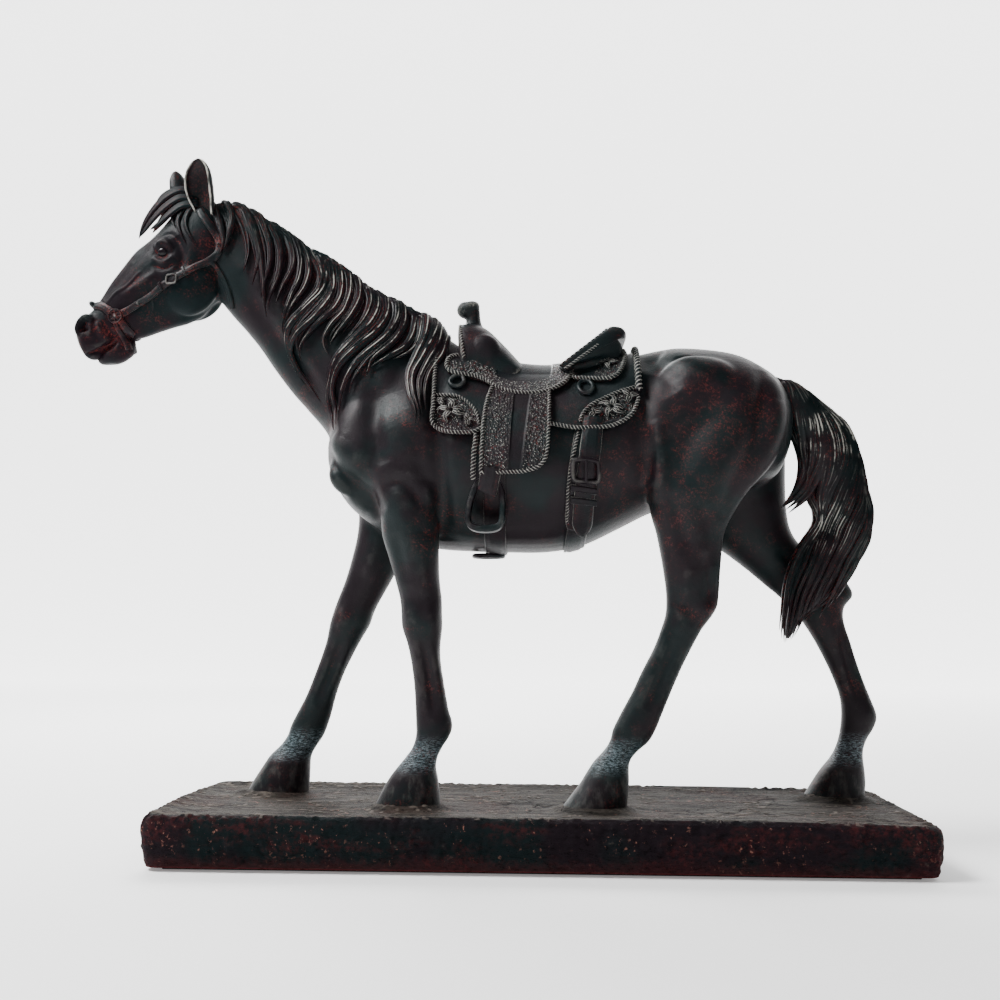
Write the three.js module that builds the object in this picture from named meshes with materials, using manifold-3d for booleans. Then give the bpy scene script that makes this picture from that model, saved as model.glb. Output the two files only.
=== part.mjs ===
// A saddled western horse in cast bronze, walking, on a slab base.
// It is built the way a foundry builds one: hollow torso and neck castings, solid head, legs and
// tail, separately cast tack, and threaded studs in the hooves that are nutted under a hollow plinth.
// Millimetres, +Z up. The horse faces -X, and its left side, the near side, is towards -Y.
// The origin is the centre of the felt face that the statue rests on.
import * as THREE from "three";
import { mergeVertices } from "three/addons/utils/BufferGeometryUtils.js";
import Module from "manifold-3d";

const wasm = await Module();
wasm.setup();

// ---------------------------------------------------------------- driving dimensions
const BASE_LENGTH = 320;
const BASE_DEPTH = 108;
const BASE_CORNER = 7; // plan radius of the plinth's corners
const FELT_THICK = 1.3;
const FELT_INSET = 6; // felt edge inside the plinth edge
const GAP = 0.3; // clearance kept between neighbouring castings
const PLINTH_BOTTOM = FELT_THICK + GAP;
const PLINTH_TOP = 21;
const PLINTH_WALL = 6;
const PLINTH_ROOF = 7; // thickness of the plinth's top plate
const BOARD_THICK = 3;
const MID = 2; // the horse's own middle plane, in Y
const SHELL = 4.5; // wall of the hollow castings
const STUD_RADIUS = 2.5;
const STUD_TOP = 44; // the stud reaches up into the pastern
const STUD_BOTTOM = 6.5;
const WASHER_THICK = 1.2;
const NUT_THICK = 4;
const NUT_RADIUS = 4.6; // across the corners, halved
const RING_SEGMENTS = 16; // points round a large casting
const LEG_SEGMENTS = 10;
const BRONZE = { color: 0x1b1614, roughness: 0.42, metalness: 0.85 };
const LEATHER_BRONZE = { color: 0x23201d, roughness: 0.5, metalness: 0.8 };
const STEEL = { color: 0x9a9a98, roughness: 0.35, metalness: 0.9 };
const FELT = { color: 0x14201a, roughness: 0.95, metalness: 0 };
const BOARD = { color: 0x5a4332, roughness: 0.8, metalness: 0 };

// ---------------------------------------------------------------- helpers
const statue = new THREE.Group();

// A closed three.js geometry as a manifold-3d solid, turned the right way out.
function solidOf(geometry) {
  const bare = geometry.clone();
  bare.deleteAttribute("normal");
  bare.deleteAttribute("uv");
  const merged = mergeVertices(bare, 1e-3);
  const vertProperties = new Float32Array(merged.attributes.position.array);
  const triVerts = new Uint32Array(merged.index.array);
  let made = new wasm.Manifold(new wasm.Mesh({ numProp: 3, vertProperties, triVerts }));
  if (made.volume() < 0) {
    for (let i = 0; i < triVerts.length; i += 3) {
      [triVerts[i + 1], triVerts[i + 2]] = [triVerts[i + 2], triVerts[i + 1]];
    }
    made = new wasm.Manifold(new wasm.Mesh({ numProp: 3, vertProperties, triVerts }));
  }
  return made;
}

// The largest connected body of a solid; slivers left by a cut are dropped.
function main(solid) {
  return solid.decompose().sort((a, b) => b.volume() - a.volume())[0];
}

// Puts a solid into the statue as a named mesh with its own material.
function piece(name, solid, look) {
  const mesh = main(solid).getMesh();
  const corners = new Float32Array(mesh.numVert * 3);
  for (let i = 0; i < mesh.numVert; i++) {
    const at = i * mesh.numProp;
    corners.set(mesh.vertProperties.subarray(at, at + 3), i * 3);
  }
  const geometry = new THREE.BufferGeometry();
  geometry.setAttribute("position", new THREE.BufferAttribute(corners, 3));
  geometry.setIndex(new THREE.BufferAttribute(mesh.triVerts, 1));
  geometry.computeVertexNormals();
  const made = new THREE.Mesh(geometry, new THREE.MeshStandardMaterial(look));
  made.name = name;
  statue.add(made);
}

const join = (solids) => solids.reduce((a, b) => a.add(b));

// A station is one cross-section of a limb seen from the side: its front (or top) edge point, its
// back (or bottom) edge point, half its width, the Y of its middle, and how much it narrows
// towards the front (or top) edge.
const station = (front, back, half, side = MID, crown = 0) => ({ front, back, half, side, crown });

// A closed skin over a list of stations, joined by Catmull-Rom curves and grown outwards by `grow`.
function limb(stations, { grow = 0, rings = stations.length, segments = RING_SEGMENTS } = {}) {
  const edge = (key) =>
    new THREE.CatmullRomCurve3(stations.map((s) => new THREE.Vector3(s[key][0], 0, s[key][1])));
  const front = edge("front");
  const back = edge("back");
  const girth = new THREE.CatmullRomCurve3(
    stations.map((s) => new THREE.Vector3(s.half, s.side, s.crown)),
  );
  const points = [];
  const middles = [];
  for (let i = 0; i <= rings; i++) {
    const f = front.getPoint(i / rings);
    const b = back.getPoint(i / rings);
    const [half, side, crown] = girth.getPoint(i / rings).toArray();
    const reach = f.clone().sub(b).multiplyScalar(0.5);
    reach.setLength(reach.length() + grow);
    const middle = f.add(b).multiplyScalar(0.5).setY(side);
    middles.push(middle);
    for (let k = 0; k < segments; k++) {
      const a = (2 * Math.PI * k) / segments;
      const wide = (half + grow) * Math.sin(a) * (1 - crown * Math.max(0, Math.cos(a)));
      points.push(middle.clone().addScaledVector(reach, Math.cos(a)).add(new THREE.Vector3(0, wide, 0)));
    }
  }
  // The end rings move outwards too, so a grown limb also covers the ends.
  const nudge = (ring, next) => {
    const way = middles[ring].clone().sub(middles[next]).setLength(grow);
    for (let k = 0; k < segments; k++) points[ring * segments + k].add(way);
    middles[ring].add(way);
  };
  if (grow) {
    nudge(0, 1);
    nudge(rings, rings - 1);
  }
  const faces = [];
  for (let i = 0; i < rings; i++) {
    for (let k = 0; k < segments; k++) {
      const a = i * segments + k;
      const b = i * segments + ((k + 1) % segments);
      faces.push(a, b, b + segments, a, b + segments, a + segments);
    }
  }
  const first = points.length;
  points.push(middles[0], middles[rings]);
  for (let k = 0; k < segments; k++) {
    const next = (k + 1) % segments;
    faces.push(first, next, k);
    faces.push(first + 1, rings * segments + k, rings * segments + next);
  }
  const geometry = new THREE.BufferGeometry().setFromPoints(points);
  geometry.setIndex(faces);
  return solidOf(geometry);
}

// A solid cylinder along +Z between two heights.
function rod(x, y, low, high, radius, sides = 20) {
  const geometry = new THREE.CylinderGeometry(radius, radius, high - low, sides);
  geometry.rotateX(Math.PI / 2).translate(x, y, (low + high) / 2);
  return solidOf(geometry);
}

// A box between two corners.
function block(low, high) {
  const size = high.map((v, i) => v - low[i]);
  const geometry = new THREE.BoxGeometry(...size);
  return solidOf(geometry.translate(...low.map((v, i) => v + size[i] / 2)));
}

// A side-view outline (x, z) cut straight through from one Y to another.
function cutter(outline, low, high, round = false) {
  const points = outline.map(([x, z]) => new THREE.Vector2(x, z));
  const shape = new THREE.Shape();
  if (round) {
    shape.moveTo(points[0].x, points[0].y);
    shape.splineThru([...points.slice(1), points[0]]);
  } else {
    shape.setFromPoints(points);
  }
  const geometry = new THREE.ExtrudeGeometry(shape, {
    depth: high - low,
    bevelEnabled: false,
    curveSegments: 2 * outline.length,
  });
  return solidOf(geometry.rotateX(Math.PI / 2).translate(0, high, 0));
}

// A band of given width along a side-view line, as a cutter.
function strip(line, width, low, high) {
  const points = line.map(([x, z]) => new THREE.Vector2(x, z));
  const sides = points.map((p, i) => {
    const along = points[Math.min(i + 1, points.length - 1)].clone().sub(points[Math.max(i - 1, 0)]);
    return new THREE.Vector2(-along.y, along.x).setLength(width / 2);
  });
  const one = points.map((p, i) => p.clone().add(sides[i]).toArray());
  const other = points.map((p, i) => p.clone().sub(sides[i]).toArray());
  return cutter([...one, ...other.reverse()], low, high);
}

// ---------------------------------------------------------------- the horse's stations
const barrel = [
  station([-96, 187], [-96, 171], 9),
  station([-92, 199], [-92, 161], 19),
  station([-84, 212], [-84, 151], 25.5, MID, 0.15),
  station([-72, 225], [-74, 143.5], 28.5, MID, 0.35),
  station([-58, 235], [-60, 137.5], 30, MID, 0.45),
  station([-44, 232], [-45, 134.5], 31.5, MID, 0.4),
  station([-30, 223], [-30, 134], 33, MID, 0.3),
  station([-12, 216], [-12, 133], 34, MID, 0.2),
  station([8, 213.5], [8, 133.5], 34.5, MID, 0.15),
  station([25, 217], [25, 138], 33.5, MID, 0.15),
  station([42, 223.5], [42, 148], 31.5, MID, 0.2),
  station([58, 227.5], [58, 155], 31, MID, 0.2),
  station([75, 227.5], [75, 160], 31.5, MID, 0.15),
  station([90, 225.5], [90, 163], 30, MID, 0.15),
  station([101, 220], [101, 166], 26, MID, 0.1),
  station([109, 213], [109, 172], 19, MID),
  station([114, 204], [113.5, 184], 9, MID),
];
const neckline = [
  station([-156, 296], [-150, 252], 7.5),
  station([-145, 293], [-143, 242.5], 9.5, MID, 0.25),
  station([-127, 286.5], [-134, 233], 10.5, MID, 0.3),
  station([-108, 273.5], [-123, 219], 12, MID, 0.3),
  station([-90, 261.5], [-112.5, 205], 14, MID, 0.3),
  station([-72, 249.5], [-102, 193.5], 17, MID, 0.3),
  station([-55, 239], [-95, 182], 21, MID, 0.3),
  station([-42, 228], [-84, 172], 24, MID, 0.3),
];
const face = [
  station([-148, 292], [-144, 268], 6),
  station([-157, 299], [-147, 253], 9.5),
  station([-168, 294.5], [-151, 246], 11.5, MID, 0.15),
  station([-179, 285], [-160, 240.7], 12, MID, 0.1),
  station([-189, 276.5], [-170, 238.3], 10.5, MID, 0.1),
  station([-197, 267], [-180, 235.2], 8.5),
  station([-204, 257.5], [-188, 233], 7.2),
  station([-210.5, 249], [-194, 229.5], 6.8),
  station([-216, 244], [-198, 226.5], 7.2),
  station([-218.5, 237.5], [-203, 224.5], 6.8),
  station([-216, 230], [-207, 224], 5),
];
// Legs: height, front edge, back edge, half width, and the Y of the leg there.
const leg = (rows) => rows.map(([z, front, back, half, side]) => station([front, z], [back, z], half, side));
const leftFore = leg([
  [178, -82, -47, 12, -14],
  [165, -77, -45.5, 12, -16.5],
  [152, -71, -44, 10.5, -18],
  [140, -69.5, -44, 9.5, -18],
  [128, -65.8, -44, 8.5, -18],
  [118, -62.3, -43.2, 7.6, -18],
  [110, -61, -42.5, 7.6, -18],
  [103, -60, -42.5, 7.4, -18],
  [97, -58.2, -42.8, 6.6, -18],
  [88, -56, -43, 5.5, -18],
  [76, -54.7, -41.6, 5.2, -18],
  [66, -54, -39.8, 5.6, -18],
  [58, -53.4, -37.8, 6.3, -18],
  [53, -53.3, -38.8, 6.4, -18],
  [48, -54.4, -41.6, 6, -18],
  [43, -58.3, -43.8, 6.4, -18],
  [38, -62, -44.6, 7.7, -18],
  [31, -66, -43.6, 9, -18],
  [PLINTH_TOP + GAP, -71, -43, 10.5, -18],
]);
const rightFore = leg([
  [178, -84, -49, 12, 18],
  [165, -84, -51, 12, 20],
  [153, -85, -54, 10.5, 21.5],
  [143, -87, -58.5, 9.8, 22],
  [132, -90.4, -64.5, 9, 22],
  [122, -94, -70, 8, 22],
  [111, -96.9, -75.6, 7.6, 22],
  [104, -97.8, -78.7, 7.4, 22],
  [97, -99, -81.2, 6.7, 22],
  [89, -101.3, -86.6, 5.6, 22],
  [78, -105.2, -92.3, 5.2, 22],
  [68, -110, -96, 5.5, 22],
  [60, -114.3, -97.9, 6.2, 22],
  [54, -117, -99.5, 6.4, 22],
  [49, -118.8, -101.8, 6.1, 22],
  [44, -122.5, -105.8, 6.2, 22],
  [40, -126, -108.4, 7.3, 22],
  [33, -131, -109.1, 9, 22],
  [PLINTH_TOP + GAP, -137.5, -109.6, 10.5, 22],
]);
const leftHind = leg([
  [208, 66, 106, 10, -13],
  [195, 56, 111, 14, -15],
  [180, 50, 107, 15, -17],
  [165, 48, 96.5, 13.5, -17.5],
  [152, 48.5, 85.5, 11.5, -18],
  [140, 52.5, 81.5, 10, -18],
  [128, 55, 80, 9, -18],
  [118, 56, 79.2, 8.2, -18],
  [110, 56, 78.7, 7.5, -18],
  [106, 55.8, 77.3, 7, -18],
  [102, 55, 73.5, 6.5, -18],
  [97, 53.3, 69, 6, -18],
  [88, 49.6, 64.6, 5.5, -18],
  [76, 44, 59.5, 5.2, -18],
  [66, 39, 55.3, 5.5, -18],
  [58, 34.5, 52, 6.3, -18],
  [53, 32.3, 50, 6.5, -18],
  [48, 30, 45.5, 6, -18],
  [44, 26.5, 41.3, 6.3, -18],
  [40, 23, 40.2, 7.5, -18],
  [32, 18.5, 40, 9, -18],
  [PLINTH_TOP + GAP, 11.5, 40, 10.5, -18],
]);
const rightHind = leg([
  [208, 68, 106, 10, 15],
  [195, 60, 113, 14, 18],
  [180, 58, 117, 15, 20],
  [165, 62, 116.5, 13.5, 21],
  [152, 70, 117, 12, 22],
  [142, 78, 120, 10.5, 22],
  [134, 87, 125, 9, 22],
  [127, 95.5, 132, 8, 22],
  [121, 103, 140, 7.2, 22],
  [116, 109.5, 146.5, 6.8, 22],
  [112, 114, 146.5, 6.8, 22],
  [108, 118.5, 142.5, 6.8, 22],
  [103, 124, 142, 6.3, 22],
  [95, 128.5, 144.3, 5.8, 22],
  [85, 133.5, 147.3, 5.4, 22],
  [75, 137.4, 150.4, 5.3, 22],
  [67, 139.6, 153.6, 5.6, 22],
  [61, 140, 156.3, 6.3, 22],
  [57, 140, 157, 6.6, 22],
  [52, 139.5, 154.3, 6.4, 22],
  [47, 138.2, 151.3, 6, 22],
  [43, 136.6, 150, 6.3, 22],
  [39, 134, 150, 7.5, 22],
  [32, 128.5, 151, 9, 22],
  [PLINTH_TOP + GAP, 122, 150.5, 10.5, 22],
]);
const tailline = [
  station([103, 217], [106, 206], 5, MID),
  station([116, 211.5], [115.5, 199], 6, MID),
  station([127, 203.5], [117.5, 188], 7.5, 3),
  station([137, 196], [120.5, 177], 9, 4),
  station([144, 185.5], [120.5, 166], 10, 5),
  station([148, 174], [123, 157], 10.5, 6),
  station([150.5, 160], [126, 149], 11, 7),
  station([150.5, 147], [124, 141], 10.5, 7),
  station([146, 135], [117, 133], 9.5, 6),
  station([140, 124], [113, 124], 8.5, 5),
  station([132, 113], [111.3, 112], 7, 4),
  station([121, 103], [110.3, 103], 4.5, 4),
  station([115, 95], [111, 95], 2, 4),
];

// ---------------------------------------------------------------- castings of the horse
const LEG_CUT = 131; // a leg is cast on its own below this height
const LEG_SHAPE = { segments: LEG_SEGMENTS };
const legs = {
  left_foreleg: { line: leftFore, stud: [-50.5, -18] },
  right_foreleg: { line: rightFore, stud: [-114, 22] },
  left_hindleg: { line: leftHind, stud: [34, -18] },
  right_hindleg: { line: rightHind, stud: [143.3, 22] },
};
const bodyGrown = (grow) => limb(barrel, { grow });
const neckGrown = (grow) => limb(neckline, { grow });
const jaw = new THREE.SphereGeometry(1, 14, 10).scale(14.5, 12.5, 14.5).translate(-164, MID, 256);
const headGrown = (grow) => {
  const cheek = 1 + grow / 14;
  const centred = jaw.clone().translate(164, -MID, -256).scale(cheek, cheek, cheek);
  return limb(face, { grow }).add(solidOf(centred.translate(-164, MID, 256)));
};
const legsGrown = (grow) => join(Object.values(legs).map(({ line }) => limb(line, { ...LEG_SHAPE, grow })));
const halfSpace = (low, high) => block([-300, -100, low], [300, 100, high]);
const bodyClear = bodyGrown(GAP);
const neckClear = neckGrown(GAP);
const headClear = headGrown(GAP);
const legClear = legsGrown(GAP);

// One hollow runs from the torso up into the neck, so both shells are open at their joint.
const neckCore = limb(neckline.slice(2, 7), { grow: -SHELL, rings: 5, segments: 10 });
const torsoCore = limb(barrel.slice(3, 15), { grow: -SHELL - 2, rings: 8, segments: 10 });
const core = torsoCore.add(neckCore);
const thighs = legsGrown(0).intersect(halfSpace(LEG_CUT, 400));
piece("torso", bodyGrown(0).add(thighs).subtract(core), BRONZE);
piece("neck", neckGrown(0).subtract(bodyClear).subtract(legClear).subtract(neckCore), BRONZE);
piece("head", headGrown(0).subtract(neckClear), BRONZE);
for (const [name, { line, stud }] of Object.entries(legs)) {
  const bore = rod(...stud, 0, STUD_TOP + GAP, STUD_RADIUS + GAP, 12);
  const whole = limb(line, LEG_SHAPE).intersect(halfSpace(0, LEG_CUT - GAP));
  piece(name, whole.subtract(bodyClear).subtract(bore), BRONZE);
}
const tail = limb(tailline, { segments: 10 }).subtract(bodyClear).subtract(legClear);
piece("tail", tail, BRONZE);

// ---------------------------------------------------------------- bridle
const STRAP_THICK = 1.6;
const STRAP_WIDE = 4;
const noseLine = [[-214, 259], [-209, 251.5], [-199.6, 244.6], [-189.5, 232.5], [-184, 226]];
const crownLine = [
  [-200, 244.8], [-180, 259], [-170.5, 261.5], [-161.5, 267], [-156.5, 272], [-152, 281],
  [-157, 291], [-161.5, 299], [-163.5, 306],
];
const throatLine = [[-154.5, 268.5], [-150.6, 264.5], [-145.6, 256], [-143.5, 249], [-144, 236]];
const headSkin = (low, high) =>
  headGrown(high).add(neckGrown(high)).subtract(headGrown(low)).subtract(neckGrown(low));
const bridleLayer = headSkin(GAP, GAP + STRAP_THICK);
const across = (line, width = STRAP_WIDE) => strip(line, width, -40, 40);
const noseWidth = STRAP_WIDE + 0.5;
const noseKnob = new THREE.SphereGeometry(2.2, 10, 8).translate(-212.5, MID, 253.8);
const noseband = bridleLayer.intersect(across(noseLine, noseWidth)).add(solidOf(noseKnob));
piece("noseband", noseband.subtract(headClear), LEATHER_BRONZE);
const crownpiece = bridleLayer.intersect(across(crownLine)).subtract(across(noseLine, noseWidth + 2 * GAP));
piece("crownpiece", crownpiece, LEATHER_BRONZE);
const throatCut = across(crownLine, STRAP_WIDE + 2 * GAP);
piece("throatlatch", bridleLayer.intersect(across(throatLine, 3)).subtract(throatCut), LEATHER_BRONZE);
const disc = (x, z, radius, low, high) => {
  const geometry = new THREE.CylinderGeometry(radius, radius, high - low, 14);
  return solidOf(geometry.translate(x, (low + high) / 2, z));
};
const rosetteLayer = headSkin(2 * GAP + STRAP_THICK, 2 * GAP + STRAP_THICK + 1.4);
piece("left_rosette", rosetteLayer.intersect(disc(-199.6, 244.6, 3.3, -30, MID)), STEEL);
piece("right_rosette", rosetteLayer.intersect(disc(-199.6, 244.6, 3.3, MID, 30)), STEEL);

// ---------------------------------------------------------------- ears, forelock and mane
const bridleClear = headGrown(2 * GAP + STRAP_THICK).add(neckGrown(2 * GAP + STRAP_THICK))
  .intersect(throatCut);
const furClear = headClear.add(neckClear).add(bridleClear);
const ear = (side, lean, height) =>
  limb(
    [
      station([-166 + lean, 294], [-159 + lean, 294], 1.8, MID + side * 6),
      station([-168 + lean, 303], [-156.5 + lean, 303], 2.5, MID + side * 6.5),
      station([-168 + lean, 309], [-156 + lean, 309], 2.5, MID + side * 7.5),
      station([-166 + lean, height - 4], [-158.5 + lean, height - 4], 1.9, MID + side * 8.5),
      station([-163 + lean, height], [-161.5 + lean, height], 0.7, MID + side * 9),
    ],
    { segments: 8, rings: 6 },
  ).subtract(furClear);
piece("left_ear", ear(-1, 0, 320.5), BRONZE);
piece("right_ear", ear(1, -4, 318), BRONZE);
const forelock = limb(
  [
    station([-163, 305], [-164, 298], 2.6),
    station([-170, 305.5], [-169, 298], 2.8),
    station([-177, 302.5], [-174, 293], 3),
    station([-182, 298], [-178.5, 289.5], 3),
    station([-187, 291], [-183.5, 285.5], 2.2),
    station([-189.7, 283.5], [-188, 282], 0.8),
  ],
  { segments: 8 },
);
piece("forelock", forelock.subtract(furClear), BRONZE);

// The mane falls down the neck's left side in pointed locks; its last lock lies over the withers.
const maneOutline = [
  [-152, 306], [-153, 296], [-147.5, 288], [-147, 273], [-143, 282], [-137, 268], [-130, 246],
  [-124, 262], [-118, 238], [-110, 220], [-108, 236], [-98, 226], [-97, 208], [-93, 190],
  [-88, 206], [-79, 213], [-66, 223], [-60, 212], [-58, 198], [-54, 188.5], [-50.5, 203],
  [-49.5, 222], [-49.5, 244], [-60, 256], [-90, 276], [-130, 302],
];
const MANE_THICK = 3.2;
const mane = neckGrown(MANE_THICK).add(bodyGrown(MANE_THICK).intersect(halfSpace(180, 245)))
  .intersect(cutter(maneOutline, -60, MID + 4))
  .subtract(bodyClear).subtract(legClear).subtract(furClear);
piece("mane", mane, BRONZE);

// ---------------------------------------------------------------- saddle
// The leather is in layers, each one a shell that follows the barrel: 1 skirt and cinches,
// 2 jockeys, fenders and billets, 3 buckles.
const LAYER = 2.6; // thickness of one layer
const layerFrom = (layer) => layer * GAP + (layer - 1) * LAYER;
const shell = (layer, thick = LAYER) =>
  bodyGrown(layerFrom(layer) + thick).subtract(bodyGrown(layerFrom(layer)));
const FULL = [-60, 60];
const SIDES = { left: [-60, MID - 6], right: [MID + 6, 60] };
const layers = [null, shell(1), shell(2), shell(3, 1.6)];
const skirtOutline = [
  [-46, 236], [-47, 222], [-49, 200], [-48, 190], [-45, 185], [-38, 182.5], [-28, 182.5],
  [-25, 186], [4, 187], [17, 185.5], [28, 185.5], [35, 188], [42, 193.5], [44.5, 203], [46, 240],
];
const skirt = layers[1].intersect(cutter(skirtOutline, ...FULL)).subtract(legClear).subtract(neckClear);
piece("skirt", skirt, LEATHER_BRONZE);

const jockeyOutline = [
  [-41, 226], [-42, 214.5], [-38, 210.5], [-30, 210], [-23, 206.5], [-18, 202.5], [-4, 200.5],
  [5, 202], [11, 206], [14.6, 212], [14.6, 224], [-30, 228],
];
const seatBowl = limb(
  [
    station([-30, 224], [-30, 208], 13),
    station([-20, 222.5], [-20, 206], 15),
    station([-8, 221], [-8, 204], 16.5),
    station([6, 221], [6, 204], 17.5),
    station([20, 223], [20, 208], 17.5),
  ],
);
const forkSeat = cutter(
  [[-44, 260], [-44, 218], [-36, 219.5], [-26, 219], [-16, 220.5], [-9, 223], [-9, 260]],
  ...FULL,
);
const bowl = seatBowl.subtract(bodyGrown(layerFrom(2))).intersect(block([-60, -40, 150], [14.6, 40, 260]));
const seat = layers[2].intersect(cutter(jockeyOutline, ...FULL)).add(bowl);
piece("seat", seat.subtract(forkSeat).subtract(neckGrown(GAP)), LEATHER_BRONZE);
const fork = limb(
  [
    station([-38, 231], [-38, 218], 10, MID, 0.3),
    station([-35.5, 237], [-35, 216], 14.5, MID, 0.45),
    station([-30, 239.5], [-30, 214], 17.5, MID, 0.5),
    station([-24, 234], [-25, 213], 16.5, MID, 0.45),
    station([-17, 226.5], [-18, 213], 12, MID, 0.3),
    station([-10, 221.5], [-11, 214], 7, MID),
  ],
  { rings: 8 },
);
const forkOnly = fork.intersect(forkSeat.translate(0, 0, GAP)).intersect(halfSpace(0, 238.5));
piece("fork", forkOnly.subtract(bodyGrown(layerFrom(2))).subtract(neckClear), LEATHER_BRONZE);
const horn = limb(
  [
    station([-35.5, 238.8], [-28, 238.8], 3.6),
    station([-35, 242.5], [-30, 242.5], 2.4),
    station([-37.8, 245], [-29, 245], 4.4),
    station([-38.6, 248], [-28.6, 248], 5),
    station([-36.5, 251], [-30.5, 251], 3),
  ],
  { segments: 12, rings: 8 },
);
piece("horn", horn.subtract(halfSpace(200, 238.8)), LEATHER_BRONZE);
const cantleBlock = limb(
  [
    station([11, 222], [14, 214], 14),
    station([19, 226], [21, 216], 17),
    station([25.5, 231], [27, 218], 18.5, MID, 0.15),
    station([31, 237], [32, 221], 18, MID, 0.25),
    station([37, 234.5], [37.5, 226], 14, MID, 0.25),
  ],
  { rings: 6 },
);
const dish = limb(
  [
    station([5, 250], [5, 221], 11),
    station([16, 252], [16, 223], 13),
    station([24, 256], [24, 227.5], 13.5),
    station([31, 262], [31, 236], 10),
  ],
  { rings: 5, segments: 12 },
);
const cantle = cantleBlock.intersect(block([15, -40, 190], [60, 40, 260])).subtract(dish);
piece("cantle", cantle.subtract(bodyGrown(layerFrom(3))), LEATHER_BRONZE);
const rearOutline = [[15, 209], [28, 208], [34, 210], [39, 218], [40, 240], [15, 236]];
piece("rear_jockey", layers[2].intersect(cutter(rearOutline, ...FULL)), LEATHER_BRONZE);

const fenderOutline = [
  [-20, 202], [-22.5, 199.5], [-24, 192], [-25.6, 180], [-26, 165], [-25.4, 162.3], [-15.6, 162.3],
  [-14.6, 167], [-2, 167.7], [2.8, 170.5], [4.8, 176], [5.6, 188], [5, 199.3], [-4, 199.9],
  [-18, 201.6],
];
const billetOutline = [
  [19, 184.8], [28, 184.8], [26, 174], [24.5, 159], [23, 145], [19, 141], [15, 145], [16, 159],
  [17.8, 174],
];
const cinchLine = (x, lean) => [[x + lean, 181], [x, 150], [x, 100]];
const cinchLayer = bodyGrown(GAP + STRAP_THICK).subtract(bodyClear).subtract(legClear);
piece("front_cinch", cinchLayer.intersect(strip(cinchLine(-19.3, 0), 9.5, ...FULL)), LEATHER_BRONZE);
const rearCinchTop = 158;
const rearCinch = cinchLayer.intersect(strip([[20, rearCinchTop], [17, 141], [15.5, 100]], 9, ...FULL));
piece("rear_cinch", rearCinch, LEATHER_BRONZE);
const RING_Z = 129.1;
const cinchRing = new THREE.TorusGeometry(5.5, 1.2, 8, 18).translate(-19.3, MID, RING_Z);
piece("cinch_ring", solidOf(cinchRing), STEEL);

const overCinch = bodyGrown(2 * GAP + STRAP_THICK).intersect(halfSpace(100, rearCinchTop + 3));
const billets = bodyGrown(2 * GAP + 2 * STRAP_THICK).subtract(bodyClear).subtract(overCinch)
  .intersect(cutter(billetOutline, ...FULL));
const buckleFrame = cutter([[12.5, 161], [13.5, 174], [28, 174], [27.5, 161]], ...FULL)
  .subtract(cutter([[16.2, 164], [16.7, 171], [24.6, 171], [24.2, 164]], ...FULL));
const buckleFrom = 3 * GAP + 2 * STRAP_THICK;
const buckles = bodyGrown(buckleFrom + 1.6).subtract(bodyGrown(buckleFrom)).intersect(buckleFrame);
const ringAt = (x, z, outer, hole, span) =>
  bodyGrown(layerFrom(2) + 2.2).subtract(bodyGrown(layerFrom(2)))
    .intersect(disc(x, z, outer, ...span)).subtract(disc(x, z, hole, ...span));
// A stirrup is one bent band, wide enough for the sole of a boot, with a straight tread.
const stirrupOuter = [
  [-26.5, 162], [-28.5, 158], [-31.3, 151], [-32, 145], [-30, 141], [-17, 141], [-15, 145],
  [-15, 152], [-15.8, 158], [-17, 162],
];
const stirrupOpening = [[-27.5, 157], [-29.3, 151], [-29.6, 145], [-17.3, 145], [-17, 152], [-18, 157.5]];
for (const [side, span] of Object.entries(SIDES)) {
  const sign = side === "left" ? -1 : 1;
  const faces = [MID + sign * 45, MID + sign * 36].sort((a, b) => a - b);
  piece(`${side}_fender`, layers[2].intersect(cutter(fenderOutline, ...span)), LEATHER_BRONZE);
  piece(`${side}_billet`, billets.intersect(block([-60, span[0], 100], [60, span[1], 250])), LEATHER_BRONZE);
  piece(`${side}_buckle`, buckles.intersect(block([-60, span[0], 100], [60, span[1], 250])), STEEL);
  piece(`${side}_front_ring`, ringAt(-37, 205, 3.8, 1.6, span), STEEL);
  piece(`${side}_rear_ring`, ringAt(20.6, 202.6, 4.1, 1.8, span), STEEL);
  const band = cutter(stirrupOuter, ...faces).subtract(cutter(stirrupOpening, ...faces));
  piece(`${side}_stirrup`, band, LEATHER_BRONZE);
}

// ---------------------------------------------------------------- plinth and its fastenings
const plan = (inset) => {
  const [x, y] = [BASE_LENGTH / 2 - inset, BASE_DEPTH / 2 - inset];
  const r = Math.max(BASE_CORNER - inset, 1);
  const shape = new THREE.Shape();
  shape.absarc(x - r, y - r, r, 0, Math.PI / 2);
  shape.absarc(r - x, y - r, r, Math.PI / 2, Math.PI);
  shape.absarc(r - x, r - y, r, Math.PI, 1.5 * Math.PI);
  shape.absarc(x - r, r - y, r, 1.5 * Math.PI, 2 * Math.PI);
  return shape;
};
const slab = (inset, low, high, bevel = 0) => {
  const geometry = new THREE.ExtrudeGeometry(plan(inset + bevel), {
    depth: high - low - 2 * bevel,
    bevelEnabled: bevel > 0,
    bevelSize: bevel,
    bevelThickness: bevel,
    bevelSegments: 3,
    curveSegments: 4,
  });
  return solidOf(geometry.translate(0, 0, low + bevel));
};
const roof = PLINTH_TOP - PLINTH_ROOF;
const studs = Object.entries(legs).map(([name, { stud }]) => [name, stud]);
const holes = (radius) => join(studs.map(([, at]) => rod(...at, 0, 60, radius, 16)));
const bosses = join(studs.map(([, at]) => rod(...at, roof - 1.5, roof + 1, 8, 16)));
const hollow = slab(PLINTH_WALL, 0, roof).subtract(bosses);
const plinth = slab(0, PLINTH_BOTTOM, PLINTH_TOP, 2.5).subtract(hollow).subtract(holes(STUD_RADIUS + GAP));
piece("plinth", plinth, BRONZE);
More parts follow.
